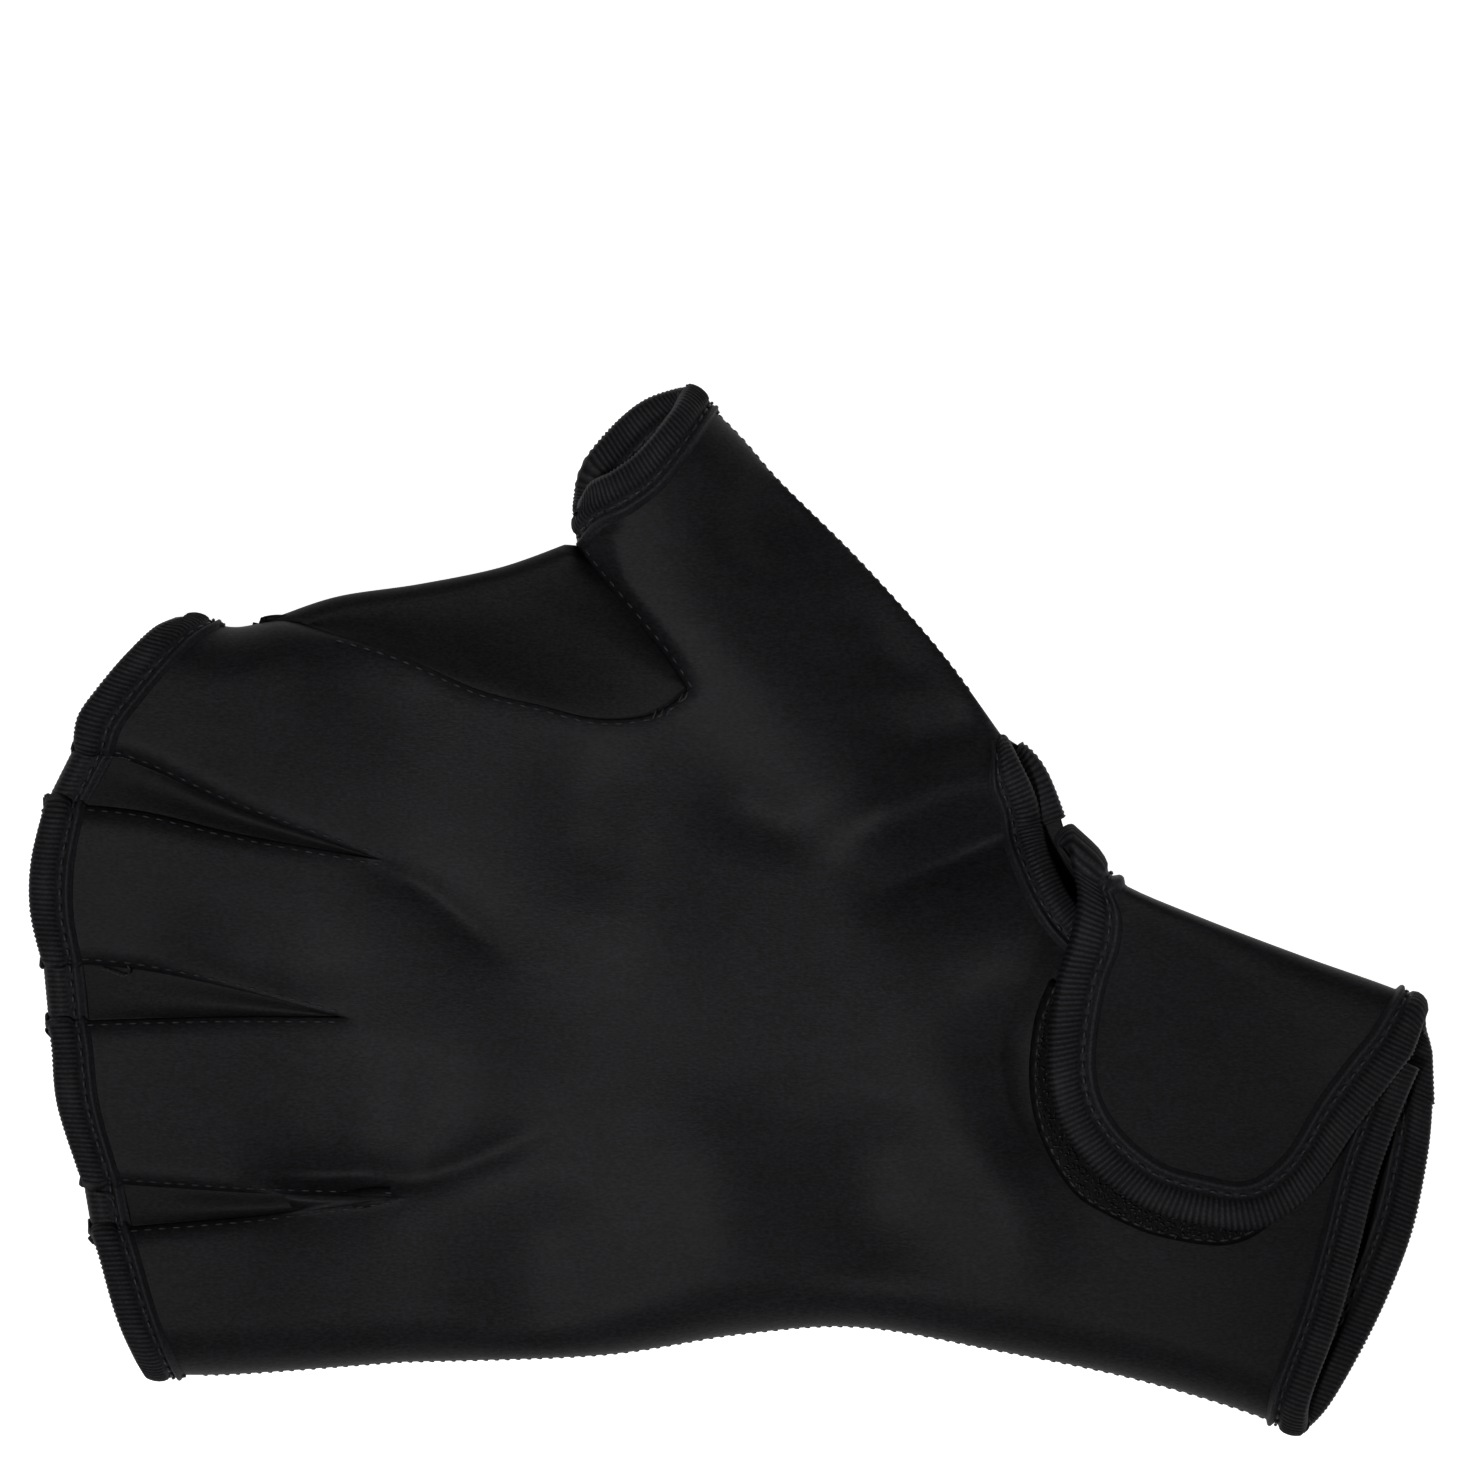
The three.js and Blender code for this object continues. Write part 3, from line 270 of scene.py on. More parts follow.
def relaxed(grid: np.ndarray, reach: float = 12.0, rounds: int = 80) -> np.ndarray:
    """Evens out a grid round its corner at i = 0 and the last j, and leaves its edges.

    Args:
        grid: plan points, indexed i, j, axis.
        reach: cells from the corner over which it acts.
        rounds: how often each point moves towards its neighbours' middle.

    Returns:
        The evened points.
    """
    i, j = np.indices(grid.shape[:2])
    pull = np.exp(-(i ** 2 + (grid.shape[1] - 1 - j) ** 2) / reach ** 2)[1:-1, 1:-1, None]
    grid = grid.copy()
    for _ in range(rounds):
        middle = (grid[:-2, 1:-1] + grid[2:, 1:-1] + grid[1:-1, :-2] + grid[1:-1, 2:]) / 4
        grid[1:-1, 1:-1] += pull * (middle - grid[1:-1, 1:-1])
    return grid


@dataclass(frozen=True)
class Seam:
    """A sewn edge in plan, with the height of each sheet's rim at its two ends."""

    points: np.ndarray
    front: tuple[float, float] = (SIDE_SEAM, SIDE_SEAM)
    back: tuple[float, float] = (CURLED, CURLED)
    roll: tuple[float, float] = (FRONT_ROLL, FRONT_ROLL)


@dataclass(frozen=True)
class Fold:
    """A dent, or a ridge where depth is negative, along a line of the front sheet."""

    points: Sequence[Sequence[float]]
    width: float
    depth: float
    pinched: bool = False         # a crease with straight sides instead of a round dent
    fade: float = 0.4             # share of the line over which each end comes up
    blunt: float = 0.5            # radius at the bottom of a crease

    def profile(self, away: np.ndarray) -> np.ndarray:
        """Share of the depth at distances from the line.

        Args:
            away: the distances.

        Returns:
            1 on the line, and less away from it.
        """
        if self.pinched:
            return np.exp(-(np.hypot(away, self.blunt) - self.blunt) / self.width)
        return np.exp(-(away / self.width) ** 2)

    def segments(self) -> "Segments":
        """The line's pieces, with the share of the depth along them.

        Returns:
            The pieces, each with the share at its two ends.
        """
        line = Line(self.points).even(24)
        at = share(line)
        return Segments([line], [(smooth(np.minimum(at, 1 - at) / self.fade))[:, None]])


FOLDS = [
    # the hollow where the thumb is pulled in at the wrist, and the ridge above it
    Fold([(67.5, 22), (51.7, 15.2), (42.2, 11.5), (34.3, 8), (26.4, 4.3), (16.9, 0.2)],
         7.5, 6.6, True),
    Fold([(13.4, 8.5), (28, 17.3), (39.8, 22.8), (46.9, 26)], 5, -3),
    Fold([(18.5, 22.8), (26.4, 26.5), (43.8, 30.7)], 7, 3.6),
    # the thumb: its outer side slopes away, two dents across it, its crest
    Fold([(51.7, 18.9), (31.1, 41), (18.5, 57.6), (0.3, 77.3), (-6.8, 88.4)], 13, 6.2),
    Fold([(15.3, 67.9), (7.4, 62.3), (0.3, 52.9)], 6, 3.6),
    Fold([(24.8, 53.6), (26.4, 33.1)], 8, 2.6),
    Fold([(-17.9, 60), (-2.1, 41), (21.6, 17.3)], 8, -1.4),
    # the crease between the thumb and the palm
    Fold([(-6.8, 20.5), (4.3, 14.5), (16.9, 11.3)], 5, 1.5),
    Fold([(-28.1, 30.7), (-22.6, 17.3), (-22.6, -1.7)], 8, 1.4),
    # valleys from the ends of the finger gussets into the palm
    Fold([(-62.1, 9.4), (-47.9, 2.8), (-32.1, -11.1)], 4, 1.9, True),
    Fold([(-62.1, -44.3), (-44.7, -40.8), (-25, -32)], 2.6, 1.7, True),
    Fold([(-92.1, -4.8), (-73.2, -8.3), (-55.8, -12.7)], 6, 1.2),
    Fold([(-78.7, -41.5), (-63.7, -41.8), (-47.9, -40.8)], 5, 4, True),
    # the dip in front of the knuckles, and the knuckles
    Fold([(-55, -19), (-54.2, -28.5), (-53.4, -42.7)], 7, 0.8),
    Fold([(-41.9, -1.7), (-39.2, -39.6)], 8, -0.3),
    Fold([(-68.4, 39.4), (-41.6, 29.9)], 10, 1),
    # slow waves of the palm
    Fold([(-30.5, -39.6), (-30.5, -74.3)], 11, 2.2),
    Fold([(-5.2, -23.8), (0.3, -68)], 10, -1.8),
    Fold([(20.1, -26.9), (21.6, -42.7), (23.2, -61.7)], 10, 2.2),
    Fold([(35.9, -20.6), (42.2, -41.2), (50.1, -66.4)], 7, -1.6),
    Fold([(43.8, -8), (45.3, -45.9)], 8, 3.4),
    Fold([(-14.7, 29.9), (-13.1, -20.6)], 10, -1.2),
]


class Segments:
    """Straight pieces of lines, for the nearest one to many points at a time."""

    BATCH = 2000                  # points looked at together, which bounds the memory

    def __init__(self, lines: Sequence[np.ndarray], values: Sequence[np.ndarray] = ()) -> None:
        """Cuts lines into pieces, each with the values at its two ends.

        Args:
            lines: plan points of each line.
            values: values at those points, a row for each point.
        """
        values = values or [np.zeros((len(line), 1)) for line in lines]
        self.start = np.vstack([line[:-1] for line in lines])
        self.step = np.vstack([np.diff(line, axis=0) for line in lines])
        self.value = np.vstack([value[:-1] for value in values])
        self.change = np.vstack([np.diff(value, axis=0) for value in values])

    def nearest(self, points: np.ndarray) -> tuple[np.ndarray, np.ndarray]:
        """Finds the nearest piece to each point.

        Args:
            points: plan points in an array of any shape, axis last.

        Returns:
            The distances, and the values there.
        """
        flat = points.reshape(-1, 2)
        square = np.maximum((self.step ** 2).sum(1), 1e-12)
        distance = np.empty(len(flat))
        value = np.empty((len(flat), self.value.shape[1]))
        for k in range(0, len(flat), self.BATCH):
            batch = slice(k, k + self.BATCH)
            part = flat[batch, None]
            t = np.clip(((part - self.start) * self.step).sum(2) / square, 0, 1)
            away = np.linalg.norm(part - self.start - t[..., None] * self.step, axis=2)
            best = away.argmin(1)
            rows = np.arange(len(best))
            distance[batch] = away[rows, best]
            value[batch] = self.value[best] + t[rows, best][:, None] * self.change[best]
        return distance.reshape(points.shape[:-1]), value.reshape(*points.shape[:-1], -1)


class Side(Enum):
    """The two sheets of the glove."""

    FRONT = "front"
    BACK = "back"


class Relief:
    """Heights of both sheets over the plan."""

    EDGE = 0.01                   # points this close to a seam lie on it
    LOWEST = 4.9                  # no fold reaches below this, so the sheets stay apart
    SOFT = 0.6                    # height over which a fold comes to rest there

    def __init__(self, seams: Sequence[Seam], taped: Sequence[np.ndarray]) -> None:
        """Takes the sewn edges, and the taped rims of the sheet that lies on the floor.

        Args:
            seams: the sewn edges.
            taped: plan points of each rim.
        """
        heights = [np.stack([blend(*ends, share(seam.points))
                             for ends in (seam.front, seam.back, seam.roll)], -1)
                   for seam in seams]
        self.seams = Segments([seam.points for seam in seams], heights)
        self.taped = Segments(taped)
        self.folds = [(fold.segments(), fold) for fold in FOLDS]

    def crown(self, xy: np.ndarray) -> np.ndarray:
        """Height of the front sheet before its folds and its fall to the seams.

        Args:
            xy: plan points.

        Returns:
            The heights.
        """
        z = np.full(xy.shape[:-1], CROWN)
        for x, y, rise, reach in SWELLS:
            z = z + rise * np.exp(-((xy[..., 0] - x) ** 2 + (xy[..., 1] - y) ** 2) / reach ** 2)
        return z

    def top(self, xy: np.ndarray) -> np.ndarray:
        """Height of the front sheet's outer face.

        Args:
            xy: plan points.

        Returns:
            The heights.
        """
        distance, rims = self.seams.nearest(xy)
        z = self.crown(xy)
        for segments, fold in self.folds:
            away, depth = segments.nearest(xy)
            z = z - fold.depth * depth[..., 0] * fold.profile(away)
        z = self.LOWEST + self.SOFT * np.logaddexp(0, (z - self.LOWEST) / self.SOFT)
        t = np.clip(1 - np.maximum(distance - self.EDGE, 0) / rims[..., 2], 0, 1)
        return rims[..., 0] + (z - rims[..., 0]) * np.sqrt(1 - t ** 2)

    def bottom(self, xy: np.ndarray) -> np.ndarray:
        """Height of the back sheet's outer face.

        Args:
            xy: plan points.

        Returns:
            The heights.
        """
        distance, rims = self.seams.nearest(xy)
        near = self.taped.nearest(xy)[0]
        lift = TAPE_LIFT * (1 - smooth((near - TAPE_WIDTH - TAPE_FADE) / TAPE_WIDTH))
        t = np.clip(1 - np.maximum(distance - self.EDGE, 0) / BACK_ROLL, 0, 1)
        return blend(np.maximum(rims[..., 1], lift), lift, np.sqrt(1 - t ** 2))

    def raised(self, xy: np.ndarray, side: Side) -> np.ndarray:
        """Lifts plan points on to the outer face of one sheet."""
        return with_heights(xy, self.top(xy) if side is Side.FRONT else self.bottom(xy))


@dataclass
class Plan:
    """The glove's pattern in plan: its edges at fine stations, and the grids of its sheets."""

    finger_steps: int = 42
    finger_rows: int = 28
    web_steps: int = 60
    root_rows: int = 52
    slit_steps: int = 88
    thumb_steps: int = 56
    back_slit_steps: tuple[int, ...] = (20, 9, 11)  # on the slit, the gap and the strap's end
    web_corner: float = 0.24      # shares of the palm's side where its upper edge turns
    slit_point: float = 0.5
    settle: float = 0.6           # share of the palm over which its rows even out
    web_start: float = 0.54       # share of the index finger's side where its rim starts to rise
    web_taper: float = 0.59       # shares of the thumb's web seam where its rim starts to sink
    web_end: float = 0.82         # and where it is down at the side seam's height
    edges: dict[str, np.ndarray] = field(default_factory=dict)

    def __post_init__(self) -> None:
        """Lays out the edges that the sheets, gussets and tapes share."""
        lines = {"little_side": (LITTLE_SIDE, self.finger_steps),
                 "index_side": (INDEX_SIDE, self.finger_steps),
                 "palm_web": (PALM_WEB_SEAM, self.web_steps),
                 "thumb_web": (THUMB_WEB_SEAM, self.thumb_steps),
                 "thumb_side": (THUMB_SIDE, self.thumb_steps),
                 "slit_front": (SLIT_FRONT, self.slit_steps)}
        for name, (upper, lower) in WEDGES.items():
            lines[f"{name}_upper"] = (upper, self.finger_steps)
            lines[f"{name}_lower"] = (lower, self.finger_steps)
        e = self.edges
        for name, (points, count) in lines.items():
            e[name] = Line(points).even(count)
        e["thumb_root"] = Line(THUMB_ROOT).at(rounded(self.root_rows))
        back = (Line(SLIT_BACK), Line([SLIT_BACK[-1], STRAP_SEAM_BACK[0]], True),
                Line(STRAP_SEAM_BACK[:2], True), Line(STRAP_SEAM_BACK[1:], True))
        steps = (*self.back_slit_steps, self.slit_steps - sum(self.back_slit_steps))
        parts = [line.even(count) for line, count in zip(back, steps)]
        e["slit_back"] = parts[0]
        e["slit_edge_back"] = np.vstack([parts[0], *(part[1:] for part in parts[1:])])
        palm = np.concatenate([
            np.linspace(0, self.web_corner, self.web_steps + 1),
            np.linspace(self.web_corner, self.slit_point, self.root_rows + 1)[1:],
            np.linspace(self.slit_point, 1, self.slit_steps + 1)[1:]])
        e["palm_side"] = Line(PALM_SIDE).at(palm)

    def fingers(self) -> dict[str, tuple[np.ndarray, np.ndarray]]:
        """The two long edges of each finger channel, from its mouth to the palm.

        Returns:
            The lower and the upper edge of each, by the finger's name.
        """
        e = self.edges
        return {"little": (e["little_side"], e["ring_little_lower"]),
                "ring": (e["ring_little_upper"], e["middle_ring_lower"]),
                "middle": (e["middle_ring_upper"], e["index_middle_lower"]),
                "index": (e["index_middle_upper"], e["index_side"])}

    def cuff(self, side: Side) -> Line:
        """The cuff's rim on one sheet."""
        return Line(CUFF_FRONT if side is Side.FRONT else CUFF_BACK)

    def thumb_mouth(self, side: Side) -> Line:
        """The thumb's open rim on one sheet."""
        return Line(THUMB_MOUTH_FRONT if side is Side.FRONT else THUMB_MOUTH_BACK)

    def palm_top(self, side: Side) -> np.ndarray:
        """The palm's upper edge: web seam, thumb root and wrist slit.

        Args:
            side: the sheet.

        Returns:
            Its points.
        """
        e = self.edges
        slit = e["slit_front"] if side is Side.FRONT else e["slit_edge_back"]
        return np.vstack([e["palm_web"], e["thumb_root"][1:], slit[1:]])

    def grids(self, side: Side) -> dict[str, np.ndarray]:
        """Plan grids of one sheet, for four finger channels, the palm and the thumb.

        Args:
            side: the sheet.

        Returns:
            Plan points indexed i, j, axis, by the grid's name.
        """
        made, knuckles = {}, []
        rows = rounded(self.finger_rows)[:, None]
        for name, (low, high) in self.fingers().items():
            knuckle = blend(low[-1], high[-1], rows)
            made[name] = patch(low, high, Line(MOUTHS[name]).at(rows[:, 0]), knuckle)
            knuckles.append(knuckle[1:] if knuckles else knuckle)
        left = np.vstack(knuckles)
        cuff = self.cuff(side).at(crowded(len(left), 0.85))
        e = self.edges
        made["palm"] = patch(e["palm_side"], self.palm_top(side), left, cuff, self.settle)
        mouth = self.thumb_mouth(side).at(rounded(self.root_rows))
        made["thumb"] = relaxed(patch(e["thumb_root"], mouth, e["thumb_web"], e["thumb_side"]))
        return made

    def seams(self) -> list[Seam]:
        """Every sewn edge, with the heights that the sheets' rims have there.

        Returns:
            The seams.
        """
        e, web = self.edges, WEB_HEIGHT
        index, palm, thumb = e["index_side"], e["palm_web"], e["thumb_web"]
        turn, closed = self.index_turn(), self.thumb_closed()
        taper = round(self.web_taper * self.thumb_steps)
        half = self.web_steps // 2
        quarter = half // 2
        risen = (web["start"] + web["middle"]) / 2

        def folded(line: np.ndarray, start: float, end: float, roll: float = FOLDED_ROLL) -> Seam:
            """A gusset's seam, where the back sheet lies on the floor."""
            return Seam(line, (start, end), (0, 0), (roll, FOLDED_ROLL))

        return [
            Seam(self.outer_side()),
            Seam(index[:turn + 1]),
            Seam(index[turn:], (SIDE_SEAM, web["start"]), (CURLED, 0)),
            folded(palm[:quarter + 1], web["start"], risen, FRONT_ROLL),
            folded(palm[quarter:half + 1], risen, web["middle"]),
            folded(palm[half:], web["middle"], web["corner"]),
            folded(thumb[:taper + 1], web["corner"], web["end"]),
            Seam(thumb[taper:closed + 1], (web["end"], SIDE_SEAM), (0, CURLED),
                 (FOLDED_ROLL, THUMB_ROLL)),
            Seam(thumb[closed:], roll=(THUMB_ROLL, FRONT_ROLL)),
            Seam(e["thumb_side"]),
            *(folded(e[f"{name}_{edge}"], *WEDGE_RIM_HEIGHT, WEDGE_MOUTH_ROLL)
              for name in WEDGES for edge in ("upper", "lower")),
        ]

    def index_turn(self) -> int:
        """Station of the index finger's side where its rim starts to rise to the gusset."""
        return round(self.web_start * self.finger_steps)

    def thumb_closed(self) -> int:
        """Station of the thumb's web seam where the gusset ends and the sheets meet."""
        return round(self.web_end * self.thumb_steps)

    def outer_side(self) -> np.ndarray:
        """The side seam from the little finger to the cuff."""
        return np.vstack([self.edges["little_side"], self.edges["palm_side"][1:]])

    def taped(self) -> list[np.ndarray]:
        """Rims of the back sheet that carry tape."""
        lines = [*map(Line, MOUTHS.values()), self.thumb_mouth(Side.BACK), self.cuff(Side.BACK)]
        return [*(line.even(29) for line in lines), self.edges["slit_back"]]


# Materials


def linear(colour: str) -> tuple[float, float, float, float]:
    """Turns an sRGB hex colour into linear values with full opacity.

    Args:
        colour: the colour as #rrggbb.

    Returns:
        Red, green, blue and opacity.
    """
    parts = [int(colour[k:k + 2], 16) / 255 for k in (1, 3, 5)]
    turned = [c / 12.92 if c <= 0.04045 else ((c + 0.055) / 1.055) ** 2.4 for c in parts]
    return (turned[0], turned[1], turned[2], 1.0)


def add_node(tree: bpy.types.NodeTree, kind: str, inputs: dict[Any, Any] | None = None,
             **settings: Any) -> bpy.types.Node:
    """Adds a node with its settings and links.

    Args:
        tree: the node tree that takes it.
        kind: the node's type name.
        inputs: a value, or a socket to link from, by input name or number.
        settings: the node's own properties.

    Returns:
        The new node.
    """
    node = tree.nodes.new(kind)
    for name, value in settings.items():
        setattr(node, name, value)
    for name, value in (inputs or {}).items():
        if isinstance(value, bpy.types.NodeSocket):
            tree.links.new(value, node.inputs[name])
        else:
            node.inputs[name].default_value = value
    return node


def per_mm(size: float) -> float:
    """Texture scale that gives a feature of this many millimetres."""
    return 1 / (size * MM)


@dataclass(frozen=True)
class Finish:
    """A matt textile finish: two close colours, a grain and the way it takes light."""

    name: str
    dark: str
    light: str
    roughness: float
    specular: float
    grain: float                  # size of the loops or threads, millimetres
    relief: float                 # height of the grain, millimetres
    strength: float = 0.5
    patches: float = 9.0          # size of the slow changes of tone, millimetres
    stretch: float = 1.0          # how much narrower than long the grain is
    painted_groove_shade: str = ""              # painted shade between the ribs of a tape
    grain_share: float = 0.82     # how much of the change of tone is the grain's
    ends: tuple[float, float] = (0.36, 0.66)  # noise values of the dark and the light colour

    def material(self) -> bpy.types.Material:
        """Builds the material.

        Returns:
            The material.
        """
        material = bpy.data.materials.new(self.name)
        material.use_nodes = True
        tree = material.node_tree
        tree.nodes.clear()
        where = add_node(tree, "ShaderNodeMapping", {
            "Vector": add_node(tree, "ShaderNodeTexCoord").outputs["Object"],
            "Scale": (1, self.stretch, 1)}).outputs["Vector"]
        slow = add_node(tree, "ShaderNodeTexNoise", {
            "Vector": where, "Scale": per_mm(self.patches), "Detail": 3, "Roughness": 0.6})
        fine = add_node(tree, "ShaderNodeTexNoise", {
            "Vector": where, "Scale": per_mm(self.grain), "Detail": 2, "Roughness": 0.7})
        loops = add_node(tree, "ShaderNodeTexVoronoi", {
            "Vector": where, "Scale": per_mm(self.grain), "Randomness": 0.85})
        tone = add_node(tree, "ShaderNodeMix", {
            0: self.grain_share, 2: slow.outputs["Fac"],
            3: fine.outputs["Fac"]}, data_type="FLOAT")
        ramp = add_node(tree, "ShaderNodeValToRGB", {0: tone.outputs[0]})
        for stop, at, code in zip(ramp.color_ramp.elements, self.ends, (self.dark, self.light)):
            stop.position = at
            stop.color = linear(code)
        colour = ramp.outputs["Color"]
        # painted shade: the grooves between a tape's ribs are darkened by the rib mask
        if self.painted_groove_shade:
            colour = add_node(tree, "ShaderNodeMix", {
                0: add_node(tree, "ShaderNodeAttribute", attribute_name=RIB_SHADE_MASK).outputs["Fac"],
                6: linear(self.painted_groove_shade), 7: colour}, data_type="RGBA").outputs[2]
        height = add_node(tree, "ShaderNodeMix", {
            0: 0.5, 2: loops.outputs["Distance"], 3: fine.outputs["Fac"]}, data_type="FLOAT")
        bump = add_node(tree, "ShaderNodeBump", {
            "Height": height.outputs[0], "Strength": self.strength,
            "Distance": self.relief * MM})
        shader = add_node(tree, "ShaderNodeBsdfPrincipled", {
            "Base Color": colour, "Normal": bump.outputs["Normal"],
            "Roughness": self.roughness, "Specular IOR Level": self.specular,
            "IOR": 1.45})
        add_node(tree, "ShaderNodeOutputMaterial", {"Surface": shader.outputs["BSDF"]})
        return material


# Jersey-faced neoprene: a fine knit glued on foam rubber, so soft light and a faint grain.
# The knit's real courses are 0.3 mm high; they are drawn 0.8 by 0.35 mm to show at all.
NEOPRENE = Finish("jersey_faced_neoprene", "#151516", "#29292d", 0.57, 0.25, 0.8, 0.10, 0.5,
                  stretch=2.3)
# The same foam with a smoother stretch knit, which looks a shade darker.
GUSSET = Finish("stretch_jersey_gusset", "#141416", "#272729", 0.6, 0.22, 0.7, 0.08, 0.5,
                stretch=2.3)
# Woven nylon binding tape: tighter threads with a slight shine on its ribs, and painted shade in
# the grooves between them.
TAPE = Finish("woven_nylon_tape", "#28282b", "#404044", 0.6, 0.25, 0.45, 0.05, 0.5, 5.0,
              painted_groove_shade="#121214")
# Hook tape: stiff moulded nylon hooks on a woven ground. Its ground is painted nearly black,
# darker than the cloth: partly the tape's own black, partly painted shade between the hooks.
HOOK_TAPE_PAINTED_SHADE = Finish("nylon_hook_tape_painted_shade", "#060607", "#101012", 0.6, 0.2, 0.9, 0.2, 0.7)
# The hooks themselves: cut nylon monofilament, glossy. Some of them flash: partly their gloss,
# partly painted glints in the lighter of the two colours, which the noise puts on some hooks.
HOOKS_PAINTED_GLINTS = Finish("nylon_monofilament_hooks_painted_glints", "#141416", "#4c4c52", 0.35, 0.5, 0.5, 0.02, 0.2, 1.2)
# Bonded polyester sewing thread, smoother than the cloth, so it catches the light.
THREAD = Finish("bonded_polyester_thread", "#2e2e31", "#444448", 0.45, 0.35, 0.3, 0.03, 0.4)


def mesh_data(name: str, mesh: bmesh.types.BMesh) -> bpy.types.Mesh:
    """Turns a finished mesh into Blender's data and frees it.

    Args:
        name: the data's name.
        mesh: the mesh, in metres.

    Returns:
        The data.
    """
    data = bpy.data.meshes.new(name)
    mesh.to_mesh(data)
    mesh.free()
    return data


def placed(name: str, data: bpy.types.ID) -> bpy.types.Object:
    """Puts data into the scene as an object.

    Args:
        name: the object's name.
        data: a mesh, a camera or a light.

    Returns:
        The object.
    """
    made = bpy.data.objects.new(name, data)
    bpy.context.scene.collection.objects.link(made)
    return made


class Dresser:
    """Makes pieces from grids and gives them their finish and body, and hides the CAD parts that
    they stand for.
    """

    def __init__(self) -> None:
        """Starts with no material made."""
        self.made: dict[str, bpy.types.Material] = {}

    def material(self, finish: Finish) -> bpy.types.Material:
        """The material of a finish, made once.

        Args:
            finish: the finish.

        Returns:
            Its material.
        """
        if finish.name not in self.made:
            self.made[finish.name] = finish.material()
        return self.made[finish.name]

    def piece(self, name: str, mesh: bmesh.types.BMesh, finish: Finish, slot: str,
              nodes: Sequence[str] = (), wall: float = 0.0) -> bpy.types.Object:
        """Makes an object of a finished mesh.

        Args:
            name: the piece's name.
            mesh: its mesh, in metres, which is freed.
            finish: its finish.
            slot: the record's material slot; not used.
            nodes: the CAD nodes that it stands for.
            wall: thickness that it gets inwards, in millimetres.

        Returns:
            The object.
        """
        data = mesh_data(name, mesh)
        data.polygons.foreach_set("use_smooth", [True] * len(data.polygons))
        data.materials.append(self.material(finish))
        made = placed(name, data)
        if wall:
            solid = made.modifiers.new("wall", "SOLIDIFY")
            solid.thickness = wall * MM
            solid.offset = -1
            solid.use_even_offset = False
        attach(made, BODY)
        if nodes:
            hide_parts(*nodes)
        LOG.info("%s: %d faces, wall %.1f mm", name, len(data.polygons), wall)
        return made


@dataclass
class Cloth:
    """A mesh under way: grids of points welded where they meet, with their outer side known."""

    mesh: bmesh.types.BMesh = field(default_factory=bmesh.new)

    def __post_init__(self) -> None:
        """Adds the layers that say which way is out and where a tape has its ribs, for the painted
        shade in the grooves between them.
        """
        self.out = self.mesh.verts.layers.float_vector.new("outward")
        # the rib mask, for the painted shade in the grooves between a tape's ribs
        self.rib = self.mesh.verts.layers.float.new(RIB_SHADE_MASK)

    def add(self, points: np.ndarray, outward: np.ndarray, ribs: Any = 1.0) -> None:
        """Adds a grid.

        Args:
            points: its points in millimetres, indexed i, j, axis.
            outward: the direction away from the glove's inside at each of them.
            ribs: 1 on a rib of the weave and 0 in the groove between two, where the tape's
                material paints shade.
        """
        ni, nj = points.shape[:2]
        made = bmesh.ops.create_grid(self.mesh, x_segments=ni - 1, y_segments=nj - 1, size=1)
        outward = np.broadcast_to(outward, points.shape)
        ribs = np.broadcast_to(ribs, points.shape[:2])
        for vert in made["verts"]:
            i = round((vert.co.x + 1) / 2 * (ni - 1))
            j = round((vert.co.y + 1) / 2 * (nj - 1))
            vert.co = points[i, j] * MM
            vert[self.out] = outward[i, j]
            vert[self.rib] = ribs[i, j]

    def welded(self, reach: float = 0.004) -> bmesh.types.BMesh:
        """Merges points closer than reach millimetres and turns every face outwards.

        Args:
            reach: distance under which two points are one.

        Returns:
            The mesh.
        """
        bmesh.ops.remove_doubles(self.mesh, verts=self.mesh.verts, dist=reach * MM)
        bmesh.ops.recalc_face_normals(self.mesh, faces=self.mesh.faces)
        self.mesh.normal_update()
        facing = sum(vert.normal.dot(vert[self.out]) for vert in self.mesh.verts)
        if facing < 0:
            bmesh.ops.reverse_faces(self.mesh, faces=self.mesh.faces)
        self.mesh.verts.layers.float_vector.remove(self.out)
        return self.mesh


class Held(Enum):
    """How a sheet of cloth is held."""

    LAID = "laid"
    FOLDED = "folded"


@dataclass(frozen=True)
class Cut:
    """A sheet of cloth as it was cut, in millimetres, and how the glove holds it."""

    piece: str
    flat: tuple[float, float]
    area: float
    held: Held
    rests_on: tuple[str, ...]
    on_it: tuple[str, ...] = ()

    def declare(self, made: dict[str, bpy.types.Object]) -> None:
        """Args:
            made: every piece of the glove, by name; not used.
        """


def with_stitches(*tapes: str) -> tuple[str, ...]:
    """Names of tapes and of the stitches on each."""
    return tuple(f"{kind}{tape}" for tape in tapes for kind in ("", "stitches_"))


CUTS = [
    Cut("front_sheet", (221, 166), 22600, Held.LAID, ("back_sheet",), (
        *with_stitches(*(f"tape_{name}" for name in MOUTHS), "tape_thumb", "tape_cuff",
                       "tape_slit_front"),
        "stitches_gussets", "stitches_side_seams", "loose_threads")),
    Cut("back_sheet", (221, 166), 22000, Held.LAID, ("floor",), with_stitches("tape_slit_back")),
    Cut("wrist_strap", (72, 68), 3500, Held.FOLDED, ("back_sheet", "fastening_patch"),
        with_stitches("tape_strap")),
    Cut("fastening_patch", (44, 42), 1250, Held.LAID, ("front_sheet",),
        ("hooks", "stitches_patch")),
    Cut("gusset_thumb", (110, 32), 2200, Held.FOLDED, ("front_sheet", "back_sheet")),
    *(Cut(f"gusset_{name}", (13, 105), 800, Held.FOLDED, ("front_sheet", "back_sheet"),
          with_stitches(f"tape_gusset_{name}")) for name in WEDGES),
]

UP = np.array([0.0, 0.0, 1.0])
UPRIGHT = Vector(UP)


@dataclass
class Maker:
    """Maker of one part of the glove, from the pattern, the heights and the finishes."""

    plan: Plan
    relief: Relief
    dresser: Dresser

    def build(self) -> list[bpy.types.Object]:
        """Makes the pieces of the part."""
        raise NotImplementedError


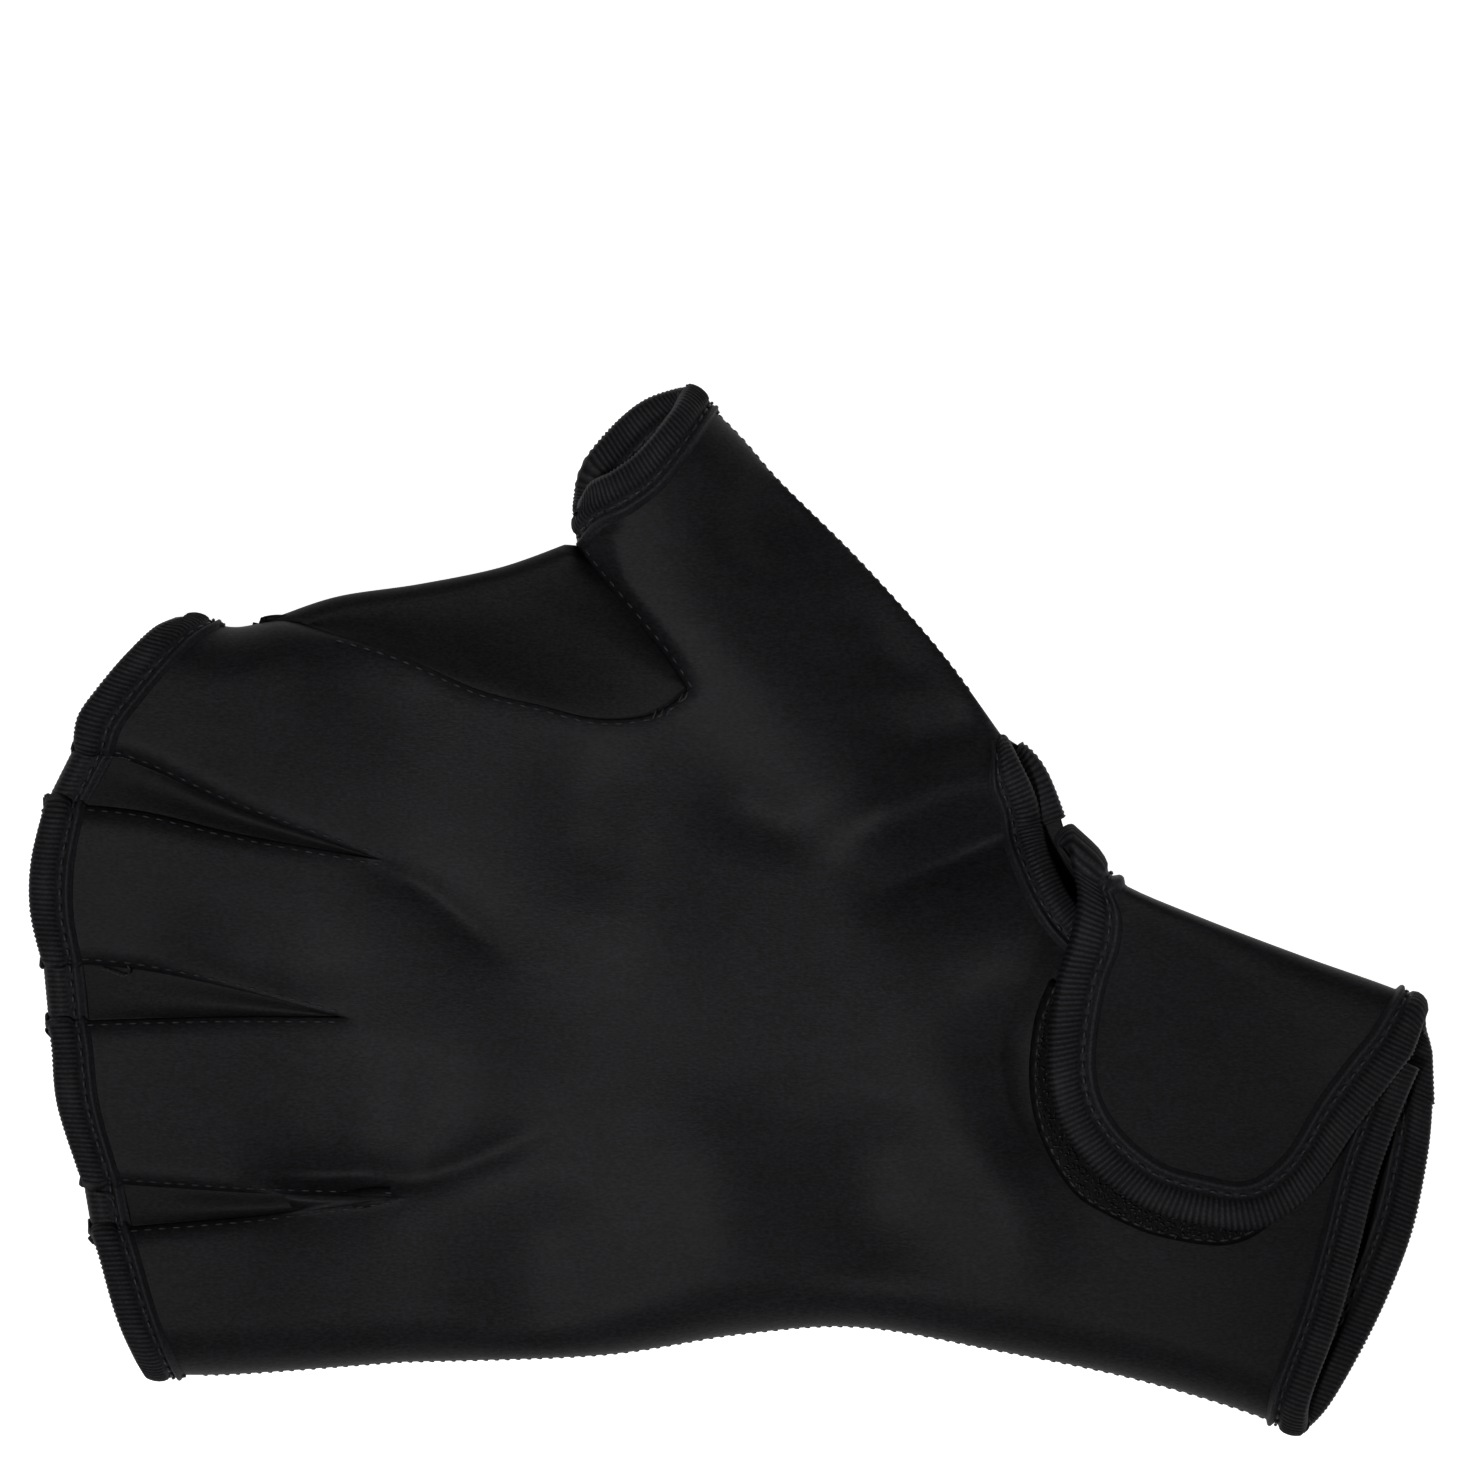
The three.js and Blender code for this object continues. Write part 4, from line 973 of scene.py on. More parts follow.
class Shell(Maker):
    """The two neoprene sheets."""

    def build(self) -> list[bpy.types.Object]:
        """Makes both sheets.

        Returns:
            The pieces.
        """
        made = []
        for side, name, node, out in ((Side.FRONT, "front_sheet", "front_panel", UP),
                                      (Side.BACK, "back_sheet", "back_panel", -UP)):
            cloth = Cloth()
            for grid in self.plan.grids(side).values():
                cloth.add(self.relief.raised(grid, side), out)
            piece = self.dresser.piece(name, cloth.welded(), NEOPRENE, "neoprene", (node,), WALL)
            made.append(piece)
        return made


@dataclass(frozen=True)
class TapeShape:
    """Section of a binding tape on the outside of the sheet, from its rim inwards."""

    width: float = TAPE_WIDTH
    # share of the width, and lift over the sheet's face in millimetres: a padded band over the
    # rim, a dip where the stitches sit, a raised inner edge and its drop to the sheet
    profile: tuple[tuple[float, float], ...] = (
        (0, 0.8), (0.08, 1.0), (0.18, 1.15), (0.3, 1.2), (0.42, 1.12), (0.52, 0.85), (0.57, 0.5),
        (0.61, 0.2), (0.67, 0.12), (0.72, 0.15), (0.76, 0.55), (0.8, 0.95), (0.84, 1.05),
        (0.88, 0.92), (0.92, 0.5), (0.95, 0.12), (1, 0.0))
    rib_pitch: float = 0.8
    rib_height: float = 0.15
    ribbed: float = 0.56          # share of the width with ribs
    sewn: float = 0.67            # share of the width where the stitches sit

    def distances(self) -> np.ndarray:
        """Distances of the section's rows from the rim."""
        return np.array([s for s, _ in self.profile]) * self.width

    def lifts(self) -> np.ndarray:
        """Lift of each of these rows over the sheet."""
        return np.array([lift for _, lift in self.profile])


EDGE_TURNS = np.radians([24, 48, 70, 90, 110, 132, 156])


@dataclass
class Ribbon:
    """Rows of a tape along a rim: its outer surface, and the line that it wraps."""

    surface: np.ndarray           # stations, rows, axis
    core: np.ndarray

    def turned(self) -> "Ribbon":
        """The same ribbon from its other end."""
        return Ribbon(self.surface[::-1], self.core[::-1])


def unit(vectors: np.ndarray) -> np.ndarray:
    """Scales vectors to length 1."""
    return vectors / np.maximum(np.linalg.norm(vectors, axis=-1, keepdims=True), 1e-9)


def face_normals(face: np.ndarray, out: np.ndarray, upright: float) -> np.ndarray:
    """Normals of a grid of points on the side that out points to, drawn towards it by upright."""
    normal = unit(np.cross(np.gradient(face, axis=0), np.gradient(face, axis=1)))
    return unit(normal * np.sign((normal * out).sum(-1).sum()) + out * upright)


def wrap(face: np.ndarray, out: np.ndarray, shape: TapeShape, upright: float = 0.0) -> Ribbon:
    """Wraps a tape over a sheet's rim.

    Args:
        face: the sheet's outer face, indexed station, distance from the rim, axis.
        out: a direction on the outer side of the sheet.
        shape: the tape's section.
        upright: how far the tape stays up where the sheet rolls over to a seam.

    Returns:
        The ribbon, from its inner edge outside to its inner edge inside.
    """
    normal = face_normals(face, out, upright)
    inside = face - normal * WALL
    lift = shape.lifts()[None, :, None]
    outer = face + normal * lift
    inner = inside - normal * lift
    middle = (face + inside) / 2
    ahead = unit(middle[:, 0] - middle[:, 1])[:, None]
    turn = EDGE_TURNS[None, :, None]
    radius = WALL / 2 + TAPE_REACH
    edge = (middle[:, :1] + np.cos(turn) * radius * normal[:, :1]
            + np.sin(turn) * TAPE_REACH * ahead)
    surface = np.concatenate([outer[:, ::-1], edge, inner], 1)
    rim = np.repeat(middle[:, :1], len(EDGE_TURNS), 1)
    return Ribbon(surface, np.concatenate([middle[:, ::-1], rim, middle], 1))


def bridge(a: Ribbon, b: Ribbon, steps: int = 14) -> Ribbon:
    """Joins the end of one ribbon to the start of the next by a smooth turn.

    Args:
        a: the ribbon that ends there.
        b: the ribbon that starts there.
        steps: stations between the two.

    Returns:
        The ribbon between them.
    """
    t = np.linspace(0, 1, steps + 2)[1:-1][:, None, None]

    def turn(first: np.ndarray, second: np.ndarray) -> np.ndarray:
        """Runs a smooth curve between the two ends, row by row.

        Args:
            first: rows of the first ribbon.
            second: rows of the second.

        Returns:
            Rows between them.
        """
        gap = np.linalg.norm(second[0] - first[-1], axis=-1, keepdims=True)
        leave = unit(first[-1] - first[-3]) * gap * 0.5
        arrive = unit(second[2] - second[0]) * gap * 0.5
        return ((2 * t ** 3 - 3 * t ** 2 + 1) * first[-1] + (t ** 3 - 2 * t ** 2 + t) * leave
                + (3 * t ** 2 - 2 * t ** 3) * second[0] + (t ** 3 - t ** 2) * arrive)

    return Ribbon(turn(a.surface, b.surface), turn(a.core, b.core))


@dataclass
class Tape:
    """A binding tape along one rim, with its ribs and its running stitch."""

    name: str
    parts: list[Ribbon]
    dresser: Dresser
    shape: TapeShape
    seed: int                     # shifts the slow changes of the ribs' height
    closed: bool = False
    node: str = ""                # the CAD node, where it isn't named as the tape is
    step: float = 0.175           # station spacing along the rim, millimetres
    measured: int = 8             # row of the section whose length sets the stations
    flat: float = 0.12            # share of the ribs' height outside the ribbed band
    tone: float = 0.8             # its painted groove shade there, where a rib is 1 and a groove 0
    thread: float = 0.55          # thickness of its sewing thread, millimetres,
    stitch: float = 2.4           # length of a stitch with its gap, the gap's share of that,
    gap: float = 0.45
    proud: float = 0.3            # and the height of the thread over the tape

    def path(self) -> Ribbon:
        """The whole ribbon at even stations.

        Returns:
            The ribbon.
        """
        parts = [self.parts[0]]
        for part in self.parts[1:]:
            parts += [bridge(parts[-1], part), part]
        if self.closed:
            parts.append(bridge(parts[-1], parts[0]))
            parts.append(Ribbon(parts[0].surface[:1], parts[0].core[:1]))
        surface = np.concatenate([p.surface for p in parts])
        core = np.concatenate([p.core for p in parts])
        run = running(surface[:, self.measured])
        count = round(run[-1] / self.step)
        at = np.linspace(0, run[-1], count + 1)

        def even(rows: np.ndarray) -> np.ndarray:
            """Rows at the even stations."""
            flat = rows.reshape(len(rows), -1)
            return resampled(flat, run, at).reshape(len(at), *rows.shape[1:])

        return Ribbon(even(surface), even(core))

    def build(self) -> list[bpy.types.Object]:
        """Makes the tape and its stitches.

        Returns:
            The pieces.
        """
        ribbon = self.path()
        out = unit(ribbon.surface - ribbon.core)
        run = running(ribbon.surface[:, self.measured])
        pitch = run[-1] / max(round(run[-1] / self.shape.rib_pitch), 1)
        # the ribs stand out more in some places than in others
        slow = 0.62 + 0.38 * np.sin(run / 6.1 + self.seed * 1.7) * np.sin(run / 2.3 + self.seed)
        ribs = np.cos(2 * np.pi * run / pitch) * self.shape.rib_height * slow
        plain = np.array([s > self.shape.ribbed for s, _ in self.shape.profile])
        keep = np.ones(ribbon.surface.shape[1])
        keep[:len(plain)][plain[::-1]] = self.flat
        keep[-len(plain):][plain] = self.flat
        surface = ribbon.surface + out * ribs[:, None, None] * keep[None, :, None]
        if self.closed:
            surface[-1] = surface[0]
        cloth = Cloth()
        # mask of the painted shade in the grooves: 1 on a rib, 0 between two
        painted_rib_shade = 0.5 + 0.5 * np.cos(2 * np.pi * run / pitch)
        cloth.add(surface, out, blend(self.tone, painted_rib_shade[:, None], keep[None]))
        made = self.dresser.piece(f"tape_{self.name}", cloth.welded(0.0005), TAPE, "tape",
                                  (self.node or f"binding_{self.name}",), TAPE_THICKNESS)
        return [made, self.sewing(ribbon)]

    def sewing(self, ribbon: Ribbon) -> bpy.types.Object:
        """Sews the tape down with a running stitch in the dips beside its padded band.

        Args:
            ribbon: the tape's rows.

        Returns:
            The stitches.
        """
        row = next(k for k, (s, _) in enumerate(self.shape.profile) if s >= self.shape.sewn)
        out = unit(ribbon.surface - ribbon.core)
        stitches = Stitches(f"stitches_tape_{self.name}", self.thread)
        outside = len(self.shape.profile) - 1 - row
        for at in (outside, -1 - outside):
            stitches.line(ribbon.surface[:, at] + out[:, at] * self.proud, self.stitch, self.gap)
        return stitches.build(self.dresser)


def between(a: np.ndarray, b: np.ndarray) -> tuple[Matrix, float]:
    """Where an upright shape has to go to lie from a to b, and the length, both in metres.

    Args:
        a: where it starts, in millimetres.
        b: where it ends.

    Returns:
        The placement and the length.
    """
    start, end = Vector(a) * MM, Vector(b) * MM
    turn = UPRIGHT.rotation_difference(end - start).to_matrix().to_4x4()
    return Matrix.Translation((start + end) / 2) @ turn, (end - start).length


@dataclass
class Stitches:
    """Threads between pairs of points, each a slim capsule."""

    name: str
    thread: float = 0.32          # thread thickness, millimetres
    half: float = 0.56            # half a stitch's length as drawn, so that its ends dip in
    mesh: bmesh.types.BMesh = field(default_factory=bmesh.new)

    def sew(self, a: np.ndarray, b: np.ndarray) -> None:
        """Adds one stitch from a to b.

        Args:
            a: where it starts, in millimetres.
            b: where it ends.
        """
        place, length = between(a, b)
        radius = self.thread * MM / 2
        size = Matrix.Diagonal((radius, radius, length * self.half, 1))
        bmesh.ops.create_uvsphere(self.mesh, u_segments=6, v_segments=5, radius=1,
                                  matrix=place @ size)

    def line(self, points: np.ndarray, pitch: float = 2.4, gap: float = 0.25) -> None:
        """Adds running stitches along a line.

        Args:
            points: the line, in millimetres.
            pitch: length of a stitch and the gap after it.
            gap: share of the pitch without thread.
        """
        run = running(points)
        count = max(round(run[-1] / pitch), 1)
        marks = np.linspace(0, run[-1], count + 1)
        for first, last in zip(marks[:-1], marks[1:]):
            self.sew(*resampled(points, run, [first, last - gap * (last - first)]))

    def build(self, dresser: Dresser) -> bpy.types.Object:
        """Makes the stitches one piece."""
        return dresser.piece(self.name, self.mesh, THREAD, "tape")


@dataclass
class Bindings(Maker):
    """Every taped rim of the sheets: finger mouths, thumb mouth, cuff and wrist slit."""

    shape: TapeShape = TapeShape()
    stations: int = 130
    upright: float = 0.5          # how far a tape stays up where its sheet rolls over
    corner: int = 11              # stations that the thumb's tape is cut short at the web
    # A tape has this share of its width at a free end, and widens over these lengths, on the
    # slit and on the thumb
    end: float = 0.3
    hem: float = 9.0
    thumb_hem: float = 6.0
    # The thumb's back tape starts square to its rim. From this distance on it turns with the
    # sheet, over this length
    square: tuple[float, float] = (5.0, 10.0)
    # Lengths of the slit without tape: the front's start and end, and the back's start, which
    # lies under the front's tape
    left_out: tuple[float, float, float] = (0.6, 8.0, 3.5)

    def ribbon(self, grid: np.ndarray, side: Side) -> Ribbon:
        """Wraps the tape over a rim given by plan points, indexed station, row, axis."""
        face = self.relief.raised(grid, side)
        return wrap(face, UP if side is Side.FRONT else -UP, self.shape, self.upright)

    def finger(self, name: str, side: Side) -> Ribbon:
        """The tape on one sheet at a finger's mouth, from its low to its high edge.

        Args:
            name: the finger.
            side: the sheet.

        Returns:
            The ribbon.
        """
        low, high = self.plan.fingers()[name]
        shares = [np.append(self.shape.distances() / running(edge)[-1], 1) for edge in (low, high)]
        bottom, top = Line(low, True).at(shares[0]), Line(high, True).at(shares[1])
        rows = rounded(self.stations)
        grid = patch(bottom, top, Line(MOUTHS[name]).at(rows),
                     blend(low[-1], high[-1], rows[:, None]))
        return self.ribbon(grid[:-1].swapaxes(0, 1), side)

    def beside(self, rim: np.ndarray, narrow: np.ndarray) -> np.ndarray:
        """Plan points of a tape's face at right angles to its rim, with a share of the width.

        Args:
            rim: plan points of the rim.
            narrow: share of the tape's width at each of them.

        Returns:
            The points, indexed station, row, axis.
        """
        along = unit(np.gradient(rim, axis=0))
        inward = np.stack([along[:, 1], -along[:, 0]], -1)
        width = self.shape.distances() * narrow[:, None]
        return rim[:, None] + inward[:, None] * width[..., None]

    def widening(self, at: np.ndarray, reach: float) -> np.ndarray:
        """Share of a tape's width at distances from its free end."""
        return blend(self.end, 1, smooth((at + 1) / reach))

    def thumb(self, side: Side) -> Ribbon:
        """The tape on one sheet at the thumb's mouth, from the web to the outer side.

        Args:
            side: the sheet.

        Returns:
            The ribbon.
        """
        e = self.plan.edges
        web, outer = Line(e["thumb_web"], True), Line(e["thumb_side"], True)
        shares = [np.append(0, 1 - self.shape.distances()[::-1] / line.length())
                  for line in (web, outer)]
        rows = rounded(self.stations)
        rim = self.plan.thumb_mouth(side).at(rows)
        grid = patch(Line(THUMB_ROOT).at(rows), rim, web.at(shares[0]), outer.at(shares[1]))
        grid = grid[:, :0:-1]
        if side is Side.BACK:
            at = running(rim)
            square = self.beside(rim, self.widening(at, self.thumb_hem))
            start, length = self.square
            grid = blend(square, grid, smooth((at - start) / length)[:, None, None])
        return self.ribbon(grid[self.corner:], side)

    def cuff(self, side: Side) -> Ribbon:
        """The tape on one sheet at the cuff, from the side seam up to the strap.

        Args:
            side: the sheet.

        Returns:
            The ribbon.
        """
        low, high = Line(PALM_SIDE), Line(self.plan.palm_top(side)[-60:], True)
        shares = [np.append([0, 0.5], 1 - self.shape.distances()[::-1] / line.length())
                  for line in (low, high)]
        rows = crowded(2 * self.stations + 1, 0.95)
        grid = patch(low.at(shares[0]), high.at(shares[1]),
                     Line([PALM_SIDE[0], high.points[0]], True).at(rows),
                     self.plan.cuff(side).at(rows))
        return self.ribbon(grid[:1:-1].swapaxes(0, 1), side)

    def slit(self, line: Line, side: Side, first: float, last: float) -> Ribbon:
        """The tape along one edge of the wrist slit.

        Args:
            line: the edge.
            side: the sheet.
            first: distance along the edge where the tape starts.
            last: distance where it ends.

        Returns:
            The ribbon.
        """
        at = np.linspace(first, last, 2 * self.stations)
        rim = line.at(at / line.length())
        return self.ribbon(self.beside(rim, self.widening(at, self.hem)), side)

    def build(self) -> list[bpy.types.Object]:
        """Makes all of them.

        Returns:
            The pieces.
        """
        front, back = Line(SLIT_FRONT), Line(SLIT_BACK)
        first, last, hidden = self.left_out
        rims = {
            "thumb": [self.thumb(Side.FRONT), self.thumb(Side.BACK).turned()],
            "cuff": [self.cuff(Side.FRONT).turned(), self.cuff(Side.BACK)],
            "slit_front": [self.slit(front, Side.FRONT, first, front.length() - last)],
            "slit_back": [self.slit(back, Side.BACK, hidden, back.length())],
        }
        made = []
        for seed, name in enumerate(MOUTHS):
            parts = [self.finger(name, Side.FRONT), self.finger(name, Side.BACK).turned()]
            made += Tape(name, parts, self.dresser, self.shape, seed, True).build()
        for seed, (name, parts) in enumerate(rims.items(), 5):
            made += Tape(name, parts, self.dresser, self.shape, seed).build()
        return made


def fold_round(angle: np.ndarray, nose: float, square: float) -> tuple[np.ndarray, np.ndarray]:
    """Reach and height of a fold at angles from its nose, squarer as square goes below 1."""
    across, up = np.cos(angle), np.sin(angle)
    return (nose * np.abs(across) ** square, nose * np.sign(up) * np.abs(up) ** square)


def hairpin(reach: float, seam: float, nose: float, middle: float, square: float = 1.0,
            rows: int = 26, turns: int = 14) -> np.ndarray:
    """Section of a folded gusset: out along its upper ply, round the nose and back underneath.

    Args:
        reach: length of the gusset from its seam to its fold.
        seam: height of the upper ply at the seam.
        nose: radius of the fold.
        middle: height of the fold's middle.
        square: 1 for a round fold, less for one pressed square.
        rows: rows on each ply.
        turns: rows round the fold.

    Returns:
        Distance from the seam and height of each row.
    """
    start = reach - nose
    t = np.linspace(0, 1, rows, endpoint=False)
    upper = np.stack([start * t, blend(seam, middle + nose, smooth(t))], -1)
    angle = np.radians(np.linspace(90, -90, turns))
    forward, up = fold_round(angle, nose, square)
    turn = np.stack([start + forward, middle + up], -1)
    under = np.stack([start * t[::-1], np.full(rows, middle - nose)], -1)
    return np.vstack([upper, turn, under])


@dataclass
class FingerGussets(Maker):
    """The wedge gussets between the fingers and the tape round their free ends."""

    shape: TapeShape = TapeShape(rib_height=0.05)
    nose: float = 5.3             # radius of the fold at the free end, and how round it is
    square: float = 0.5
    fill: float = 0.985           # share of the wedge's length that the gusset fills
    across: int = 18
    sag: float = 0.2              # share of its width that the upper ply hangs down, and the
    deepest: float = 1.0          # most that it hangs, less so towards its free end
    tuck: float = 0.15            # how far its edges run into the sheets' seams
    below: float = 0.4            # how far under the sheets' rims it is sewn in
    clear: tuple[float, float] = (0.3, -0.5)  # gaps from its tape to the two fingers
    rise: float = 0.25            # how far the tape's inner edge stands over its nose
    wall: float = 1.8

    def place(self, name: str, path: np.ndarray, reach: float, across: np.ndarray,
              clear: tuple[float, float]) -> np.ndarray:
        """Lays a section across its wedge.

        Args:
            name: the wedge.
            path: distance from the seam and height of each row.
            reach: the gusset's length.
            across: shares of the way from the upper to the lower edge.
            clear: gap kept to the upper and to the lower edge.

        Returns:
            Points, indexed row, share across, axis.
        """
        upper, lower = (Line(edge) for edge in WEDGES[name])
        depth = reach - path[:, 0]
        a, b = upper.inwards(depth), lower.inwards(depth)
        aside = unit(b - a)
        a, b = a + aside * clear[0], b - aside * clear[1]
        xy = blend(a[:, None], b[:, None], across[None, :, None])
        return with_heights(xy, np.repeat(path[:, 1:2], len(across), 1))

    def reach(self, name: str) -> float:
        """Length of one gusset."""
        return self.fill * min(Line(edge).length() for edge in WEDGES[name])

    def gusset(self, name: str) -> bpy.types.Object:
        """Makes one gusset, sagging a little between its seams.

        Args:
            name: the wedge.

        Returns:
            The gusset.
        """
        reach = self.reach(name)
        seam = blend(*WEDGE_RIM_HEIGHT, self.fill) - self.below
        middle = self.nose + TAPE_REACH
        path = hairpin(reach, seam, self.nose, middle, self.square)
        across = np.linspace(0, 1, self.across + 1)
        grid = self.place(name, path, reach, across, (-self.tuck, -self.tuck))
        width = np.linalg.norm(grid[:, -1] - grid[:, 0], axis=-1)[:, None]
        hang = smooth((grid[..., 2] - middle) / self.nose)
        # the sag fades towards the free end, over its last 22 mm
        away = smooth((reach - path[:, 0] + 4) / 26)[:, None]
        near = 1 - across if name in DEEP_AT_UPPER else across
        depth = np.minimum(self.sag * width, self.deepest) * away
        # deepest two thirds of the way across, where the last three factors come to 1
        grid[..., 2] -= hang * depth * 6.75 * near ** 2 * (1 - near)
        out = grid - np.array([0, 0, middle])
        cloth = Cloth()
        cloth.add(grid, np.concatenate([np.zeros_like(out[..., :2]), out[..., 2:]], -1))
        return self.dresser.piece(f"gusset_{name}", cloth.welded(), GUSSET, "gusset",
                                  (f"web_{name}",), self.wall)

    def tape(self, name: str, seed: int) -> list[bpy.types.Object]:
        """Makes the tape round a gusset's free end.

        Args:
            name: the wedge.
            seed: the tape's seed.

        Returns:
            The pieces.
        """
        reach = self.reach(name)
        middle = self.nose + TAPE_REACH
        start = reach - self.nose
        across = np.linspace(0, 1, 60)
        # outside of the gusset's nose, as a rim whose face is the upper ply
        s = self.shape.distances()
        leg = self.shape.width - self.nose
        upper = np.stack([start - (s - self.nose).clip(0, leg),
                          middle + self.nose + self.rise * (s - self.nose).clip(0, leg) / leg],
                         -1)
        round_off = s < self.nose
        ahead = (1 - s / self.nose).clip(0, 1)
        up = (1 - ahead ** (2 / self.square)) ** (self.square / 2)
        upper[round_off] = np.stack([start + self.nose * ahead,
                                     middle + self.nose * up], -1)[round_off]
        lower = upper * [1, -1] + [0, 2 * middle]
        lower[:, 1] = np.maximum(lower[:, 1], middle - self.nose)
        surface, core = [], []
        for half, lifts in ((upper[::-1], self.shape.lifts()[::-1]), (lower[1:], None)):
            points = self.place(name, half, reach, across, self.clear)
            inside = np.broadcast_to([start - 2.0, middle], half.shape)
            centre = self.place(name, inside, reach, across, self.clear)
            towards = unit(points - centre)
            lift = TAPE_REACH if lifts is None else lifts[:, None, None]
            surface.append((points + towards * lift).swapaxes(0, 1))
            core.append(centre.swapaxes(0, 1))
        ribbon = Ribbon(np.concatenate(surface, 1), np.concatenate(core, 1))
        return Tape(f"gusset_{name}", [ribbon], self.dresser, self.shape, seed,
                    node=f"binding_web_{name}").build()

    def build(self) -> list[bpy.types.Object]:
        """Makes the three gussets with their tapes.

        Returns:
            The pieces.
        """
        made = []
        for seed, name in enumerate(WEDGES, 11):
            made += [self.gusset(name), *self.tape(name, seed)]
        return made


@dataclass
class ThumbGusset(Maker):
    """The folded gusset between the index finger and the thumb."""

    nose: float = 3.2
    tuck: float = 0.2             # how far its edges run into the sheets' seams
    taper: int = 4                # stations over which it opens at the index finger
    start: float = 0.43           # share of the index finger's side where its first section is
    below: tuple[float, float] = (0.1, 0.4)  # how far under the front sheet's rim it is sewn in,
    turn: int = 16                # at the palm and, this many stations on, at the thumb
    wall: float = 1.1

    def build(self) -> list[bpy.types.Object]:
        """Makes the gusset from one hairpin section at each station of its seams.

        Returns:
            The pieces.
        """
        e = self.plan.edges
        count = self.plan.finger_steps
        closed = self.plan.thumb_closed()
        seam = np.vstack([e["index_side"][round(self.start * count):-1], e["palm_web"],
                          e["thumb_web"][1:closed + 3]])
        folds = Line(THUMB_WEB_FOLD).at(share(seam))
        before, after = np.roll(seam, 1, 0), np.roll(seam, -1, 0)
        before[0], after[-1] = seam[0], seam[-1]
        step = before - after
        outward = unit(np.stack([step[:, 1], -step[:, 0]], -1))
        near = np.linalg.norm(seam - e["thumb_web"][-1], axis=1)
        # its last sections aren't tucked in, so they stay clear of the tape at the mouth
        clear = blend(0, -self.tuck, smooth((near - 5) / 2))
        root = seam + outward * clear[:, None]
        rims = self.relief.seams.nearest(seam)[1][:, 0]
        sections = []
        corner = len(seam) - closed - 1
        for k in range(len(seam)):
            folds[k] = blend(root[k], folds[k], min((k + 1) / self.taper, 1))
            reach = float(np.linalg.norm(folds[k] - root[k]))
            # the fold is thinner where the gusset is narrow
            nose = min(self.nose, 0.6 + 0.4 * reach)
            low = blend(*self.below, smooth((k - corner) / self.turn))
            path = hairpin(reach, rims[k] - low, nose, self.nose)
            xy = blend(root[k], folds[k], path[:, :1] / reach)
            sections.append(with_heights(xy, path[:, 1]))
        grid = np.stack(sections)
        out = np.zeros_like(grid)
        out[..., 2] = grid[..., 2] - self.nose
        cloth = Cloth()
        cloth.add(grid, out)
        return [self.dresser.piece("gusset_thumb", cloth.welded(), GUSSET, "gusset",
                                   ("thumb_web",), self.wall)]


def aside(line: np.ndarray, distance: float) -> np.ndarray:
    """Shifts a plan line to its left by a distance."""
    along = unit(np.gradient(line, axis=0))
    return line + np.stack([-along[:, 1], along[:, 0]], -1) * distance


@dataclass
class SeamThreads(Maker):
    """The threads of the seams: beside the gussets, down the glove's sides, and loose ends."""

    beside: float = 0.7           # distance of a stitch line from its seam
    pitch: float = 2.2            # length of a running stitch with its gap, and the gap's share
    gap: float = 0.5
    whip: float = 1.7             # spacing of the whip stitches
    bite: float = 0.4             # distance from the rim where the whip stitches go in
    foot: float = 3.1             # height of their lower ends, and the most at their upper ends
    head: float = 4.9
    slant: float = 0.45           # share of their spacing that they lean along the seam
    proud: float = 0.02           # how far outside the rims they lie
    lift: float = 0.1             # height over the sheet of the seams' stitches, the bar tack's,
    tack_lift: float = 0.2
    loose_lift: float = 0.35      # and the loose ends

    def on_top(self, xy: np.ndarray, lift: float) -> np.ndarray:
        """Plan points lifted above the front sheet."""
        return self.relief.raised(xy, Side.FRONT) + UP * lift

    def gussets(self) -> bpy.types.Object:
        """A running stitch beside every gusset seam, and the bar tack at the thumb's fork.

        Returns:
            The stitches.
        """
        e = self.plan.edges
        stitches = Stitches("stitches_gussets", 0.36)
        # the lines stop short of the tapes at the mouths
        lines = []
        for name in WEDGES:
            lines.append(aside(e[f"{name}_upper"], self.beside)[3:])
            lines.append(aside(e[f"{name}_lower"], -self.beside)[3:])
        lines.append(aside(e["palm_web"], -self.beside))
        lines.append(aside(e["thumb_web"], -self.beside)[:-8])
        for line in lines:
            stitches.line(self.on_top(line, self.lift), self.pitch, self.gap)
        for point in BAR_TACK:
            stitches.sew(*self.on_top(np.add(point, BAR_STITCH), self.tack_lift))
        return stitches.build(self.dresser)

    def sides(self) -> bpy.types.Object:
        """Whip stitches that hold the rims of the two sheets together.

        Returns:
            The stitches.
        """
        e = self.plan.edges
        stitches = Stitches("stitches_side_seams")
        for line, out in ((self.plan.outer_side(), -self.proud),
                          (e["index_side"][:self.plan.index_turn() + 1], self.proud),
                          (e["thumb_side"], -self.proud)):
            count = round(running(line)[-1] / self.whip)
            path = aside(Line(line, True).even(count), out)
            inside = aside(path, math.copysign(self.bite, -out))
            tops = np.minimum(self.relief.top(inside) + self.lift, self.head)
            # none of them where the tapes cross the seam, at its two ends
            for a, b, top in zip(path[5:-4], path[6:-3], tops[5:-4]):
                head = blend(a, b, self.slant)
                stitches.sew(np.array([*a, self.foot]), np.array([*head, top]))
        return stitches.build(self.dresser)

    def loose(self) -> bpy.types.Object:
        """Thread ends left at the joints of the tapes and one loose end on a finger.

        Returns:
            The threads.
        """
        stitches = Stitches("loose_threads", 0.34)
        for points in LOOSE_THREADS:
            path = self.on_top(Line(points).even(8), self.loose_lift)
            for a, b in zip(path[:-1], path[1:]):
                stitches.sew(a, b)
        return stitches.build(self.dresser)

    def build(self) -> list[bpy.types.Object]:
        """Makes all of them."""
        return [self.gussets(), self.sides(), self.loose()]


